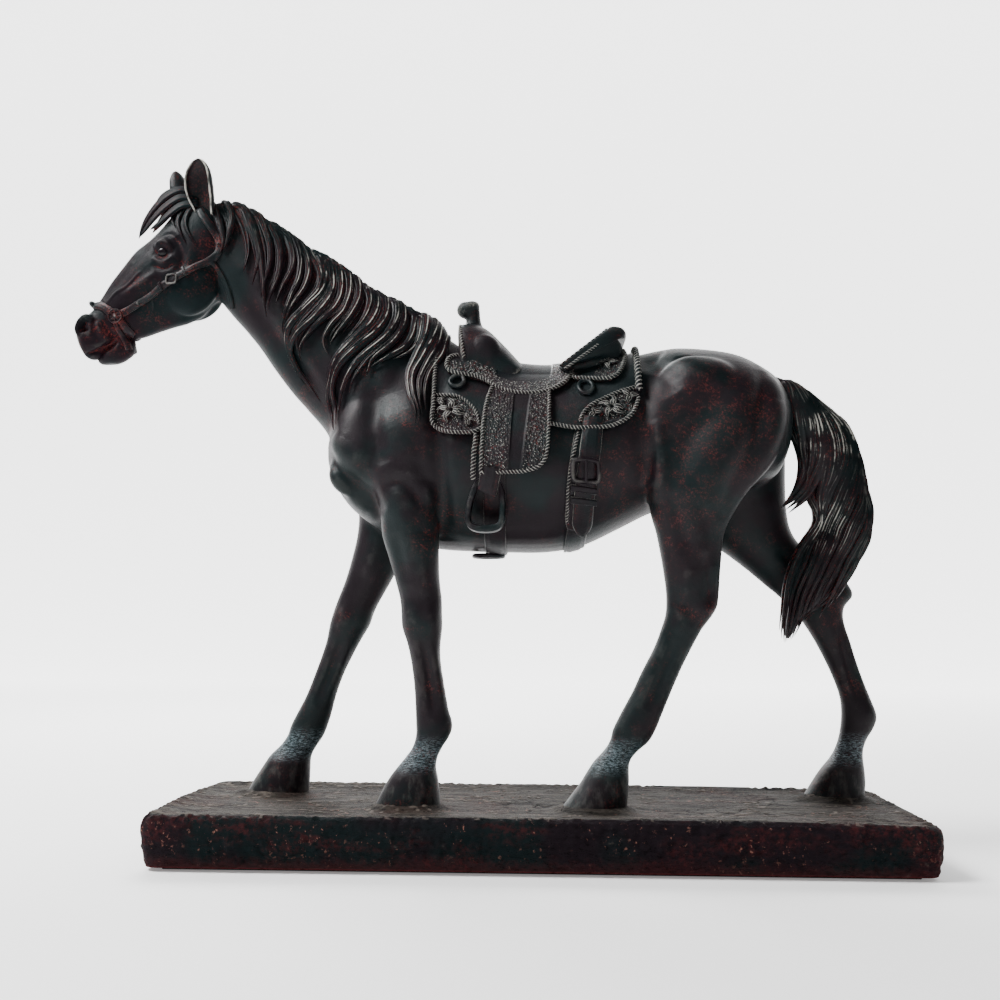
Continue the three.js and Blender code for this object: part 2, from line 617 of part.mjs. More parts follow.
piece("backing_board", slab(PLINTH_WALL + GAP, PLINTH_BOTTOM, PLINTH_BOTTOM + BOARD_THICK), BOARD);
piece("felt_pad", slab(FELT_INSET, 0, FELT_THICK), FELT);
const washerTop = roof - 1.5 - GAP;
const nutTop = washerTop - WASHER_THICK - GAP;
for (const [name, at] of studs) {
  const bore = rod(...at, 0, 60, STUD_RADIUS + GAP, 16);
  piece(`${name}_stud`, rod(...at, STUD_BOTTOM, STUD_TOP, STUD_RADIUS, 12), STEEL);
  piece(`${name}_washer`, rod(...at, washerTop - WASHER_THICK, washerTop, 6, 20).subtract(bore), STEEL);
  piece(`${name}_nut`, rod(...at, nutTop - NUT_THICK, nutTop, NUT_RADIUS, 6).subtract(bore), STEEL);
}

export default statue;
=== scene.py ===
# %% [markdown]
# A saddled western horse in patinated bronze
# The statue is cast metal, so nothing on it is really cloth, leather or hair: every strap, lock and
# rope edge is a raised shape in the same dark skin. The lesson builds each shape with numpy as a
# surface of two parameters and gives it a patina made of shader nodes.

import math

import bmesh
import bpy
import numpy as np
from mathutils import Matrix, Vector


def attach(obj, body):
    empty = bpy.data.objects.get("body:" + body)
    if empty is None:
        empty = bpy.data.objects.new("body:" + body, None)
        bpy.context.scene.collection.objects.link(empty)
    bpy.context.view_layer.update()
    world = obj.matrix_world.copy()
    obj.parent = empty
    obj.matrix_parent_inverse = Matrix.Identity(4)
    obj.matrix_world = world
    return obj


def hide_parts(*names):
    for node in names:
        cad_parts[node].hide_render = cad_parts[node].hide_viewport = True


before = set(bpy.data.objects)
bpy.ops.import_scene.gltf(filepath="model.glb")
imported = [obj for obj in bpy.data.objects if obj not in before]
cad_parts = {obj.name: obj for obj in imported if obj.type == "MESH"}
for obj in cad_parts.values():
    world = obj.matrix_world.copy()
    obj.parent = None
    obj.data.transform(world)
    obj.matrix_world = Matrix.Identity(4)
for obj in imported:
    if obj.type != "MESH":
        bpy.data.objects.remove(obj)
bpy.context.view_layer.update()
MM = 0.001
MID = 2.0  # the horse's middle plane, in Y
rng = np.random.default_rng(7)

# %% [markdown]
# Helpers for surfaces. Everything is worked out in millimetres and turned into metres on the way
# into Blender. A surface is a grid of points, rows by columns, and its faces join neighbours.


# %% Turn arrays into mesh objects
def show(name, data):
    """Puts data into the scene as an object."""
    made = bpy.data.objects.new(name, data)
    bpy.context.scene.collection.objects.link(made)
    return made


def add_mesh(name, points, faces, attributes=None):
    """Makes a smooth mesh object from points in millimetres and faces as arrays of corners."""
    mesh = bpy.data.meshes.new(name)
    faces = [np.asarray(f) for f in faces if len(f)]
    mesh.vertices.add(len(points))
    mesh.vertices.foreach_set("co", (np.asarray(points, float) * MM).ravel())
    corners = np.concatenate([f.ravel() for f in faces])
    totals = np.concatenate([np.full(len(f), f.shape[1]) for f in faces])
    mesh.loops.add(len(corners))
    mesh.loops.foreach_set("vertex_index", corners)
    mesh.polygons.add(len(totals))
    mesh.polygons.foreach_set("loop_start", np.concatenate([[0], np.cumsum(totals)[:-1]]))
    mesh.polygons.foreach_set("loop_total", totals)
    mesh.polygons.foreach_set("use_smooth", np.ones(len(totals), bool))
    for key, values in (attributes or {}).items():
        mesh.attributes.new(key, "FLOAT", "POINT").data.foreach_set("value", values)
    mesh.update()
    mesh.validate()
    return show(name, mesh)


def grid_faces(rows, cols, wrap=False, loop=False):
    """Quads between neighbouring points of a rows by cols grid; wrap joins the last column to the
    first, and loop the last row to the first."""
    r, c = np.meshgrid(np.arange(rows - 1 + loop), np.arange(cols - 1 + wrap), indexing="ij")
    below, right = (r + 1) % rows, (c + 1) % cols
    quads = np.stack([r * cols + c, r * cols + right, below * cols + right, below * cols + c], -1)
    return quads.reshape(-1, 4)


def tube_faces(rows, cols):
    """Faces of a tube with a cap at each end."""
    k = np.arange(cols)[None]
    return [grid_faces(rows, cols, wrap=True), k[:, ::-1], (rows - 1) * cols + k]


def unit(v):
    """Each vector divided by its length."""
    return v / np.linalg.norm(v, axis=-1, keepdims=True)


def circle(count):
    """Angles spaced evenly round a full turn."""
    return np.linspace(0, 2 * np.pi, count, endpoint=False)


def fade(v):
    """v cut to 0..1."""
    return np.clip(v, 0, 1)


def bell(d, width):
    """exp(-(d / width) ** 2): 1 at d = 0, falling off on both sides."""
    return np.exp(-((d / width) ** 2))


def squared(c, power):
    """Sign of c times |c| ** power: a power below 1 fills the corners of a circle."""
    return np.sign(c) * np.abs(c) ** power


def read_points(obj):
    """The object's vertices in millimetres, as rows of x, y, z."""
    out = np.empty(len(obj.data.vertices) * 3)
    obj.data.vertices.foreach_get("co", out)
    return out.reshape(-1, 3) / MM


def write_points(obj, points):
    obj.data.vertices.foreach_set("co", (points * MM).ravel())
    obj.data.update()


def read_normals(obj):
    out = np.empty(len(obj.data.vertices) * 3)
    obj.data.vertex_normals.foreach_get("vector", out)
    return out.reshape(-1, 3)


def spline(a, b, c, d, t):
    """Catmull-Rom curve between b and c, at t from 0 to 1."""
    return 0.5 * (2 * b + (c - a) * t + (2 * a - 5 * b + 4 * c - d) * t**2 + (3 * b - a - 3 * c + d) * t**3)


def curve(points, count, closed=False):
    """Catmull-Rom curve through the given points, as count points spread evenly over its length."""
    p = np.asarray(points, float)
    if closed:
        p = np.concatenate([p, p[:1]])
        q = np.concatenate([p[-2:-1], p, p[1:2]])
    else:
        q = np.concatenate([2 * p[:1] - p[1:2], p, 2 * p[-1:] - p[-2:-1]])
    dense = spline(q[:-3], q[1:-2], q[2:-1], q[3:], np.linspace(0, 1, 17)[:-1, None, None])
    dense = np.concatenate([dense.transpose(1, 0, 2).reshape(-1, p.shape[1]), p[-1:]])
    walked = np.concatenate([[0], np.cumsum(np.linalg.norm(np.diff(dense, axis=0), axis=1))])
    at = np.linspace(0, walked[-1], count + 1 if closed else count)
    out = np.stack([np.interp(at, walked, dense[:, k]) for k in range(p.shape[1])], 1)
    return out[:-1] if closed else out


# %% [markdown]
# The horse was modelled in wax before it was cast. Its trunk, neck, head and legs are each a loft:
# cross-sections threaded on a line, with the front and back edge and the half width given at each.
# The lofts are fused by a voxel remesh, which melts them together as wax would, and the muscles
# are then pushed and scored into the skin.


# %% A loft through stations
def loft(stations, leans=(0,), rings=None):
    """Closed skin. A station is (front x, front z, back x, back z, half width, crown, square):
    ring point = middle + cos(a)|.|**e * reach + sin(a)|.|**e * half width in y, where crown narrows
    the front side, a negative crown the back side, and e = 1 - square / 2 fills the corners. Each
    station's middle lies leans away from the middle plane, and the last lean holds for the rest."""
    segments = 48
    rows = [(*s, *(0, 0)[len(s) - 5 :], leans[min(i, len(leans) - 1)]) for i, s in enumerate(stations)]
    rings = rings or 5 * len(rows)
    s = curve_stations(np.array(rows), rings)
    front = np.stack([s[:, 0], 0 * s[:, 0], s[:, 1]], 1)
    back = np.stack([s[:, 2], 0 * s[:, 0], s[:, 3]], 1)
    middle = (front + back) / 2
    middle[:, 1] = MID + s[:, 7]
    a = circle(segments)
    power = 1 - s[:, 6, None] / 2
    crown = s[:, 5, None]
    narrow = 1 - fade(crown) * fade(np.cos(a)) - fade(-crown) * fade(-np.cos(a))
    ring = middle[:, None] + ((front - back) / 2)[:, None] * squared(np.cos(a), power)[..., None]
    ring[..., 1] += s[:, 4, None] * squared(np.sin(a), power) * narrow
    points = np.concatenate([ring.reshape(-1, 3), middle[:1], middle[-1:]])
    k, ahead = np.arange(segments), np.roll(np.arange(segments), -1)
    first, base = rings * segments, (rings - 1) * segments
    caps = [np.stack([0 * k + first, ahead, k], 1), np.stack([0 * k + first + 1, base + k, base + ahead], 1)]
    return points, [grid_faces(rings, segments, wrap=True)[:, ::-1], np.concatenate(caps)]


def curve_stations(rows, count):
    """Catmull-Rom through the rows, evenly spaced in row number."""
    q = np.concatenate([2 * rows[:1] - rows[1:2], rows, 2 * rows[-1:] - rows[-2:-1]])
    at = np.linspace(0, len(rows) - 1, count)
    i = np.minimum(at.astype(int), len(rows) - 2)
    return spline(q[i], q[i + 1], q[i + 2], q[i + 3], (at - i)[:, None])


def ellipsoid(centre, radii, tilt=0, rows=24, cols=36):
    """Ellipsoid with its axes in x, y, z, turned by tilt degrees about Y."""
    v, u = np.meshgrid(np.linspace(0, np.pi, rows), circle(cols), indexing="ij")
    p = np.stack([np.sin(v) * np.cos(u), np.sin(v) * np.sin(u), np.cos(v)], -1) * radii
    c, s = np.cos(np.radians(tilt)), np.sin(np.radians(tilt))
    p = np.stack([p[..., 0] * c + p[..., 2] * s, p[..., 1], p[..., 2] * c - p[..., 0] * s], -1) + centre
    return p.reshape(-1, 3), [grid_faces(rows, cols, wrap=True)[:, ::-1]]


def two_balls(x, out, z, *shape):
    """An ellipsoid on each side of the middle plane, out from it."""
    return [ellipsoid((x, MID + s * out, z), *shape) for s in (-1, 1)]


def leg(rows, leans):
    """Loft from rows of height, front x, back x, half width (and crown, square)."""
    return loft([(r[1], r[0], r[2], r[0], *r[3:]) for r in rows], leans)


def stack(parts):
    """Several surfaces as one: points end to end, faces shifted to match."""
    points, quads, start = [], [], 0
    for p, faces in parts:
        points.append(p)
        quads += [f + start for f in faces]
        start += len(p)
    return np.concatenate(points), quads


# %% Cross-sections of the trunk, neck and head
trunk = loft([
    (-97, 184, -97, 172, 8), (-94.5, 194, -93, 163, 17), (-90, 206, -86, 153, 24, 0.1),
    (-80, 220, -75, 144.5, 28, 0.3), (-66, 233, -66, 140, 29.5, 0.45), (-54, 238, -55, 136.5, 30.5, 0.5),
    (-43, 231, -44, 134.4, 32, 0.45), (-30, 221.5, -30, 133.6, 33, 0.3),
    (-14, 215.5, -14, 133.2, 34, 0.2), (4, 213.5, 4, 133.4, 34.5, 0.15), (20, 216, 20, 136.5, 34, 0.15),
    (35, 221, 36, 144, 32.5, 0.2), (48, 225.5, 50, 151, 31.5, 0.25), (62, 227.8, 62, 155, 31.5, 0.25),
    (76, 227.3, 76, 158, 32, 0.15), (90, 224.8, 90, 162, 31, 0.1), (101, 219.5, 101, 165, 27, 0.05),
    (109, 213.5, 109, 170, 21, 0.1), (115, 204, 114, 181, 10),
])
neck = loft([
    (-159, 297, -151, 252, 8, 0.1), (-147, 296, -144, 243.6, 9.8, 0.35),
    (-137, 292.5, -137.5, 236.5, 10.8, 0.45), (-127, 286, -130.5, 228, 11.5, 0.45),
    (-115, 278, -123.5, 218, 12.4, 0.45), (-102, 270, -115, 207, 13.5, 0.45),
    (-88, 260.5, -106.5, 197.5, 15.5, 0.45), (-74, 251, -98.5, 188, 18.5, 0.45),
    (-60, 241, -93, 177, 21.5, 0.45), (-48, 230, -84, 165, 24, 0.4),
])
face = loft([
    (-150, 290, -147, 262, 6), (-158, 298.5, -149, 254, 9.5, 0.1), (-167.5, 296.5, -154, 250, 11.3, 0.15),
    (-177, 289, -159, 244.2, 12, 0.1), (-185, 281, -165.6, 240.8, 11.6, 0.05),
    (-191.6, 275.6, -172, 239, 10.3, 0.05), (-197.4, 268, -179, 236.8, 8.7, 0.1, 0.15),
    (-202.8, 260.6, -185.6, 234.4, 7.4, 0.1, 0.2), (-207, 253.4, -190.6, 233, 6.7, 0.05, 0.2),
    (-210, 248.5, -193.5, 231.5, 6.7, 0, 0.2), (-214, 244.2, -197.5, 228.8, 7.1, 0, 0.15),
    (-217.6, 240.8, -202, 226.5, 7.2, -0.05, 0.1), (-218.6, 236, -206, 224.5, 6.6, -0.1),
    (-216.8, 230, -209.5, 223.4, 5), (-214, 225.2, -212, 223.6, 2.5),
], rings=90)
lower_lip = loft([
    (-200, 235, -190, 232, 5), (-203.5, 229, -190.4, 229, 5.2), (-206.5, 225.6, -191, 226.3, 5.1),
    (-208, 222.6, -194.5, 223.2, 4.3), (-206, 221, -198, 221.5, 2.2),
])
jaws = two_balls(-164, 5.5, 257.5, (13.6, 7.4, 14.6), 35)
brows = two_balls(-174.6, 8.2, 273.4, (5.6, 3.9, 4.6), 40)
nostrils = two_balls(-212.8, 5, 238.5, (4.2, 3.2, 6), 25)
print("trunk points", len(trunk[0]), "face points", len(face[0]))

# %% Cross-sections of the four legs
# how far each station's middle is from the middle plane, from the top down
FORE_LEAN = np.array([8, 12, 15, 17.5, 19, 20])
HIND_LEAN = np.array([10, 14, 17, 18.5, 19.5, 20])
near_fore = leg([
    (214, -74, -55, 8), (200, -81, -48, 12), (185, -83, -45, 13.5), (170, -79, -44.5, 13.5),
    (160, -74.5, -44, 12.5), (150, -70.6, -43.6, 11.2), (140, -69.7, -44, 10.2), (130, -66.5, -44, 9.2),
    (120, -63.4, -43.6, 8.2), (112, -61.2, -42.6, 7.5), (106, -60.4, -42.4, 7.6, 0, 0.2),
    (99, -59.9, -42.2, 7.6, 0, 0.25), (92, -57.6, -42.9, 6.4, 0, 0.15), (84, -55.8, -42.7, 5.4, 0, 0.1),
    (74, -54.4, -41, 5, -0.25), (64, -53.7, -39.1, 5.4, -0.25), (57, -53.3, -37.2, 6.2, -0.1),
    (52, -53.3, -38.6, 6.4), (47, -54.8, -41.8, 5.8), (42.5, -58, -43.8, 6), (38.5, -61.3, -44.3, 7.2),
    (35.5, -63.6, -43.6, 8.4), (33.5, -65, -43.2, 8.7), (28, -68, -42.6, 9.6), (21.5, -71, -42, 10.6),
], -FORE_LEAN)
far_fore = leg([
    (214, -74, -55, 8), (200, -83, -50, 12), (185, -86, -49, 13.5), (172, -86, -51, 13.2),
    (160, -86, -53.5, 12.2), (150, -86.2, -56, 11), (141, -87, -59.5, 10.2), (131, -89.2, -65, 9.4),
    (121, -92, -70, 8.4), (112, -95.4, -75, 7.6), (106, -97.4, -78, 7.6, 0, 0.2),
    (100, -99, -80, 7.6, 0, 0.25), (93, -100.3, -84, 6.4, 0, 0.15), (86, -102.4, -87.6, 5.5),
    (77, -105.6, -91.8, 5, -0.25), (67, -109.4, -95.2, 5.4, -0.25), (59, -113.4, -97.2, 6.2, -0.1),
    (53, -116.4, -99, 6.4), (48, -118, -101, 5.9), (43.5, -121.2, -104, 6), (39.5, -125.4, -106.2, 7),
    (36.5, -127.6, -106.8, 8.4), (34, -129.2, -106.8, 8.7), (28, -133, -107, 9.6),
    (21.5, -136.6, -107.4, 10.6),
], FORE_LEAN)
near_hind = leg([
    (218, 76, 100, 6), (208, 64, 108, 11), (195, 55, 110.5, 14), (182, 50.5, 108, 15.5),
    (170, 48.6, 101.5, 15.2), (160, 48.2, 92.5, 14), (150, 48.8, 86, 12.4), (141, 51.4, 81.5, 10.8),
    (131, 53.4, 80.2, 9.4), (122, 54.8, 79.3, 8.3), (115, 55.6, 78.8, 7.5), (109, 55.7, 78, 7.1, 0, 0.15),
    (104.5, 55.2, 75.4, 6.8, 0, 0.2), (99, 53.4, 71.2, 6.3, 0, 0.2), (91, 50.3, 66.8, 5.7, -0.1, 0.1),
    (81, 45.1, 61.8, 5.2, -0.25), (71, 40.3, 57.4, 5.2, -0.25), (62, 35.4, 53.6, 6, -0.1),
    (55.5, 32.2, 50.8, 6.5), (50.5, 30.9, 47.8, 6.2), (46, 27.8, 42.6, 5.8), (42, 24, 39.6, 6.2),
    (38, 21.4, 39.2, 7.6), (35.5, 19.8, 39.3, 8.6), (32.5, 18, 39.2, 9), (27, 13.8, 38.8, 9.8),
    (21.5, 9.6, 38.2, 10.6),
], -HIND_LEAN)
far_hind = loft([
    (76, 218, 100, 218, 6), (66, 206, 109, 207, 11), (60, 193, 113, 195, 14), (58, 178, 116, 183, 15.5),
    (61, 163, 116.2, 167, 15), (68, 150, 116.6, 155.5, 13.5), (77.5, 141.5, 118.6, 145, 11.6),
    (88, 134, 124.2, 137, 10), (98, 126.4, 131.6, 131, 8.6), (106, 119.6, 139.4, 126, 7.4, 0.1),
    (112, 114.6, 145, 120, 6.9, 0.1), (117, 110, 146.8, 114.8, 6.8),
    (121, 105.5, 142.6, 109.5, 6.8, 0, 0.15), (125.2, 99.5, 142.2, 102.5, 6.5, 0, 0.2),
    (129.6, 92, 144.6, 93.5, 5.9, 0, 0.1), (134.3, 82.3, 147.9, 83, 5.3, -0.25),
    (137.9, 73.6, 151.2, 74, 5.2, -0.25), (139.8, 66.8, 154, 67, 5.7, -0.1),
    (140.2, 60, 156.4, 59.5, 6.4), (139.6, 54, 154.8, 54, 6.2), (138.4, 48.5, 151.6, 49, 5.8),
    (136.2, 43, 149.8, 44, 6.2), (133.6, 39, 149.6, 40, 7.6), (131.4, 36.5, 149.9, 37, 8.6),
    (129, 33.5, 150.2, 34, 9), (125, 27.5, 150.4, 28, 9.8), (121.4, 21.5, 149.4, 21.5, 10.6),
], HIND_LEAN)
muscles = [
    *two_balls(-62, 21, 178, (15, 10.5, 21), -22), *two_balls(-82, 14.5, 172, (12, 10, 15), 25),
    *two_balls(70, 18, 196, (27, 13, 24), -20), *two_balls(58, 19, 172, (13, 13, 20), 10),
]
near_elbow = ellipsoid((-50, -19, 157), (8, 9, 10), 0)
far_elbow = ellipsoid((-62, 22, 156), (9, 9, 10), 20)

# %% [markdown]
# The lofts are joined and remeshed. A voxel remesh leaves small steps, so the skin is then relaxed:
# every point moves towards the average of its neighbours, most of all where a leg or the neck
# grows out of the trunk, because that is where wax would be smoothed with a thumb.


# %% Fuse lofts into one skin
def fuse(name, parts, voxel):
    """Voxel remesh of several closed lofts, returned as a mesh object."""
    obj = add_mesh(name, *stack(parts))
    remesh = obj.modifiers.new("wax", "REMESH")
    remesh.mode = "VOXEL"
    remesh.voxel_size = voxel * MM
    remesh.use_smooth_shade = True
    graph = bpy.context.evaluated_depsgraph_get()
    mesh = bpy.data.meshes.new_from_object(obj.evaluated_get(graph))
    obj.modifiers.clear()
    old, obj.data = obj.data, mesh
    bpy.data.meshes.remove(old)
    return obj


def relax(obj, passes, weight):
    """Moves each point towards its neighbours' average; weight(points) gives how far, 0 to 1."""
    p = read_points(obj)
    edges = np.empty(len(obj.data.edges) * 2, int)
    obj.data.edges.foreach_get("vertices", edges)
    a, b = edges.reshape(-1, 2).T
    count = np.bincount(np.concatenate([a, b]), minlength=len(p))[:, None]
    w = weight(p)[:, None]
    for _ in range(passes):
        total = np.zeros_like(p)
        for k in range(3):
            total[:, k] = np.bincount(a, p[b, k], len(p)) + np.bincount(b, p[a, k], len(p))
        p = p + w * (total / count - p)
    write_points(obj, p)


def near(points, centre, radius):
    """1 at the centre and 0 past the radius, in x and z."""
    d = np.hypot(points[:, 0] - centre[0], points[:, 2] - centre[1]) / radius
    return fade(1 - d * d)


JOINS = [
    ((-80, 196), 40), ((-66, 158), 34), ((70, 176), 44), ((90, 150), 30), ((52, 158), 24),
    ((-60, 232), 26),
]


def wax_weight(points):
    """Strong where limbs join the trunk, light elsewhere."""
    w = np.full(len(points), 0.1)
    for centre, radius in JOINS:
        w = np.maximum(w, 0.75 * near(points, centre, radius))
    return w


legs = [near_fore, far_fore, near_hind, far_hind]
body = fuse("body", [trunk, neck, face, near_elbow, far_elbow] + muscles + legs, 0.95)
relax(body, 14, wax_weight)
head = fuse("head_wax", [neck, face, lower_lip] + jaws + brows + nostrils, 0.5)
relax(head, 8, lambda p: np.full(len(p), 0.5))
print("body points", len(body.data.vertices), "head points", len(head.data.vertices))

# %% [markdown]
# Muscles, tendons, folds and veins are strokes: a line in side view that pushes the skin out or in
# by a height that falls off as a bell across the line. The same strokes work on both meshes, so
# the seam between the two castings stays closed.


# %% Push and score the skin along strokes
def stroke(line, width, height, side=0, ends=0.6):
    return dict(line=line, width=width, height=height, side=side, ends=ends)


def line_distance(points, line):
    """Distance in x and z to a polyline, and how far along it the nearest place is, 0 to 1."""
    q = points[:, [0, 2]]
    p = np.asarray(line, float)
    lengths = np.linalg.norm(np.diff(p, axis=0), axis=1)
    total = lengths.sum()
    best = np.full(len(q), np.inf)
    along = np.zeros(len(q))
    walked = 0.0
    for a, b, size in zip(p[:-1], p[1:], lengths):
        t = fade(((q - a) @ (b - a)) / size**2)
        d = np.linalg.norm(q - a - t[:, None] * (b - a), axis=1)
        closer = d < best
        best = np.where(closer, d, best)
        along = np.where(closer, (walked + t * size) / total, along)
        walked += size
    return best, along


def carve(obj, strokes):
    """Moves points along their normals by the sum of all strokes. Side -1 is the near side only."""
    p, n = read_points(obj), read_normals(obj)
    shift = np.zeros(len(p))
    for s in strokes:
        xs, zs = zip(*s["line"])
        reach = 2.6 * s["width"]
        sel = (p[:, 0] > min(xs) - reach) & (p[:, 0] < max(xs) + reach)
        sel &= (p[:, 2] > min(zs) - reach) & (p[:, 2] < max(zs) + reach)
        if s["side"]:
            sel &= (p[:, 1] - MID) * s["side"] > 0
        q = p[sel]
        d, along = line_distance(q, s["line"])
        ends = fade(np.minimum(along, 1 - along) / 0.25) ** s["ends"] if s["ends"] else 1
        facing = fade(np.abs(n[sel, 1]) * 1.6)
        shift[sel] += s["height"] * bell(d, s["width"]) * ends * facing
    write_points(obj, p + n * shift[:, None])


def splined(rows):
    """Strokes from rows of line, width, height (and side, ends), each line turned into a smooth curve."""
    return [stroke([tuple(q) for q in curve(line, 14)], *rest) for line, *rest in rows]


trunk_strokes = splined([
    # shoulder: groove between breast and shoulder, ridge of the shoulder point, blade and triceps
    ([(-97, 180), (-91, 170.5), (-82, 162.5), (-74, 155), (-70, 148)], 3.2, -2.3, 0, 0.3),
    ([(-97, 172), (-91, 163), (-84, 155.5), (-78, 150)], 4, 1.5),
    ([(-93, 184), (-85, 176), (-76, 171)], 6, 1.8),
    ([(-58, 232), (-70, 214), (-80, 198), (-88, 184)], 7.5, 1.6),
    ([(-76, 216), (-74, 200), (-73, 186), (-68, 170)], 5, -2.0),
    ([(-60, 204), (-56, 190), (-55, 176), (-56, 164)], 7.5, 1.7),
    ([(-44, 208), (-45, 190), (-44, 172), (-42, 152), (-42.5, 138)], 4, -2.6, 0, 0.3),
    ([(-69, 160), (-62, 162), (-55, 158), (-50, 150)], 3, -1.4),
    ([(-66, 154), (-61, 150), (-57, 141), (-56, 128)], 5, 1.0),
    # under the neck: windpipe groove and the long neck muscle
    ([(-141, 262), (-124, 236), (-108, 214), (-95, 196)], 4.5, -1.5),
    ([(-132, 262), (-114, 234), (-98, 212), (-88, 198)], 5.5, 1.1),
    # barrel: last rib, flank fold, belly line
    ([(28, 206), (33, 186), (30, 168), (20, 154)], 7, -0.8),
    ([(46, 212), (45, 194), (46, 176), (48, 162)], 5.5, -2.2),
    ([(52, 190), (52, 176), (52.5, 164), (51, 154)], 3.2, 1.9),
    ([(-36, 150), (-12, 146), (10, 147), (30, 153), (44, 160)], 7, -0.9),
    ([(-36, 140), (-12, 138), (12, 139)], 4, 0.8),
    # croup and thigh
    ([(56, 224), (66, 216), (72, 206)], 7, 1.5), ([(46, 224), (54, 214), (60, 202)], 5.5, -1.7),
    ([(100, 214), (97, 196), (92, 178), (84, 160), (79, 146)], 4.2, -2.0),
    ([(106, 200), (103, 184), (97, 168), (89, 154)], 5, 1.2),
    ([(78, 206), (70, 190), (62, 174), (60, 160)], 6.5, -1.1),
    ([(90, 204), (84, 186), (74, 168), (69, 152)], 6.5, 1.0),
    ([(58, 158), (60, 148), (63, 136), (66, 124)], 3.6, -1.2),
    ([(72, 152), (74, 140), (76, 126)], 3, -1.0),
])
leg_strokes = [stroke(*row) for row in [
    # near foreleg: forearm bellies, knee bones, tendon groove, fetlock, coronet
    ([(-62, 140), (-58, 118)], 3, -1.0, -1), ([(-51, 140), (-50, 112)], 3.2, 0.9, -1),
    ([(-60, 107), (-54, 105), (-56, 99)], 2.6, 0.6, -1),
    ([(-49, 108), (-46, 102), (-47, 97)], 2.2, 0.5, -1),
    ([(-50, 94), (-47.5, 78), (-45.2, 60)], 1.7, -1.3, -1),
    ([(-53.5, 94), (-51, 78), (-49.5, 62)], 2, 0.7, -1),
    ([(-46, 92), (-43.5, 76), (-41, 60)], 1.6, 0.8, -1),
    # near hindleg: gaskin, hamstring cord, hock bones, cannon groove
    ([(72, 132), (74, 118), (75, 108)], 2.4, -1.4, -1), ([(64, 136), (64, 120), (63, 110)], 3.6, 1.0, -1),
    ([(58, 108), (62, 103), (60, 97)], 2.8, 0.6, -1), ([(72, 110), (73, 105), (69, 100)], 2.2, 0.5, -1),
    ([(68, 108), (65.5, 100)], 1.8, -0.7, -1), ([(59, 94), (53, 80), (46.5, 64)], 1.7, -1.3, -1),
    ([(55, 94), (49, 80), (42, 64)], 2, 0.7, -1), ([(64, 92), (58.5, 80), (52, 64)], 1.6, 0.8, -1),
    # far foreleg and far hindleg
    ([(-74, 148), (-82, 122)], 3.2, 0.9, 1), ([(-96, 107), (-91, 103), (-94, 98)], 2.6, 0.6, 1),
    ([(-92, 94), (-98, 78), (-104, 62)], 1.7, -1.2, 1),
    ([(-88.5, 92), (-94.5, 76), (-100.5, 62)], 1.6, 0.8, 1),
    ([(110, 136), (124, 124), (134, 116)], 2.4, -1.2, 1),
    ([(138, 104), (141, 88), (147, 66)], 1.7, -1.2, 1),
    ([(142, 104), (145.5, 86), (151.5, 66)], 1.6, 0.8, 1),
]]
head_strokes = splined([
    # cheek plate, facial crest, temple, jaw edge
    ([(-152, 262), (-155, 250), (-163, 243.5), (-174, 242.5)], 2.0, -0.5),
    ([(-178, 262), (-188, 256), (-196, 251)], 2.2, 1.1),
    ([(-176, 258), (-186, 250), (-196, 243)], 2.4, -0.9),
    ([(-170, 280), (-166, 271), (-168, 262)], 2.6, -1.3),
    ([(-184, 277), (-190, 269), (-198, 259), (-205, 251)], 2.2, -0.6),
    # eye: socket, upper and lower lid
    ([(-171, 273.5), (-175.5, 277.5), (-180.5, 275)], 1.5, 1.2, 0, 0.4),
    ([(-170.5, 270), (-175.5, 267.1), (-180.5, 270)], 1.3, 0.8, 0, 0.4),
    ([(-176.5, 272.5), (-175.1, 272.5)], 2.9, -2.2, 0, 0),
    ([(-168.5, 267.5), (-174.5, 264), (-181.5, 266.5)], 1.2, -0.6),
    ([(-167.5, 276.5), (-173.5, 281.5), (-181.5, 278.5)], 1.3, -0.6),
    # nostril: deep comma with a raised rim
    ([(-211, 243.5), (-215, 241), (-216, 236.5), (-213.6, 232.6)], 1.7, 1.0, 0, 0.3),
    ([(-209.5, 242.4), (-209.6, 237), (-211, 233)], 1.4, 0.8, 0, 0.3),
    ([(-212, 241), (-213.4, 238.3), (-212.6, 235)], 1.7, -3.4, 0, 0.1),
    # mouth line, lip folds, chin groove
    ([(-213, 224.4), (-208, 226), (-203, 228.4), (-198, 231.4)], 1.0, -2.2, 0, 0.2),
    ([(-212, 228), (-206, 230), (-200, 233.6)], 1.6, 0.8),
    ([(-204, 224), (-199, 226.6), (-196, 229.6)], 1.5, 0.6),
    ([(-194.5, 234), (-190, 231.8), (-187, 232.4)], 1.6, -1.2),
    ([(-204, 241), (-201, 236), (-197, 233)], 1.4, -0.8),
    ([(-207.5, 240), (-204.4, 234), (-200.6, 231)], 1.3, 0.7),
    # veins on the face
    ([(-186, 264), (-193, 257), (-199, 254), (-203, 249)], 0.8, 0.5),
    ([(-184, 240.5), (-180, 246), (-181, 252)], 1.0, 0.5),
])
strokes = trunk_strokes + leg_strokes + head_strokes
carve(body, strokes)
carve(head, strokes)
relax(body, 2, lambda p: np.full(len(p), 0.35))
relax(head, 1, lambda p: np.full(len(p), 0.3))
print("strokes", len(strokes))

# %% [markdown]
# Dry-brushing catches whatever stands proud, partly as real wear and partly as a painted highlight,
# and washes of colour settle in the hollows. How proud each point is gets measured on the mesh and
# stored as an attribute that the patina can read.


# %% Measure how proud each point stands
def store(obj, key, values):
    layer = obj.data.attributes.get(key) or obj.data.attributes.new(key, "FLOAT", "POINT")
    layer.data.foreach_set("value", np.asarray(values, np.float32))


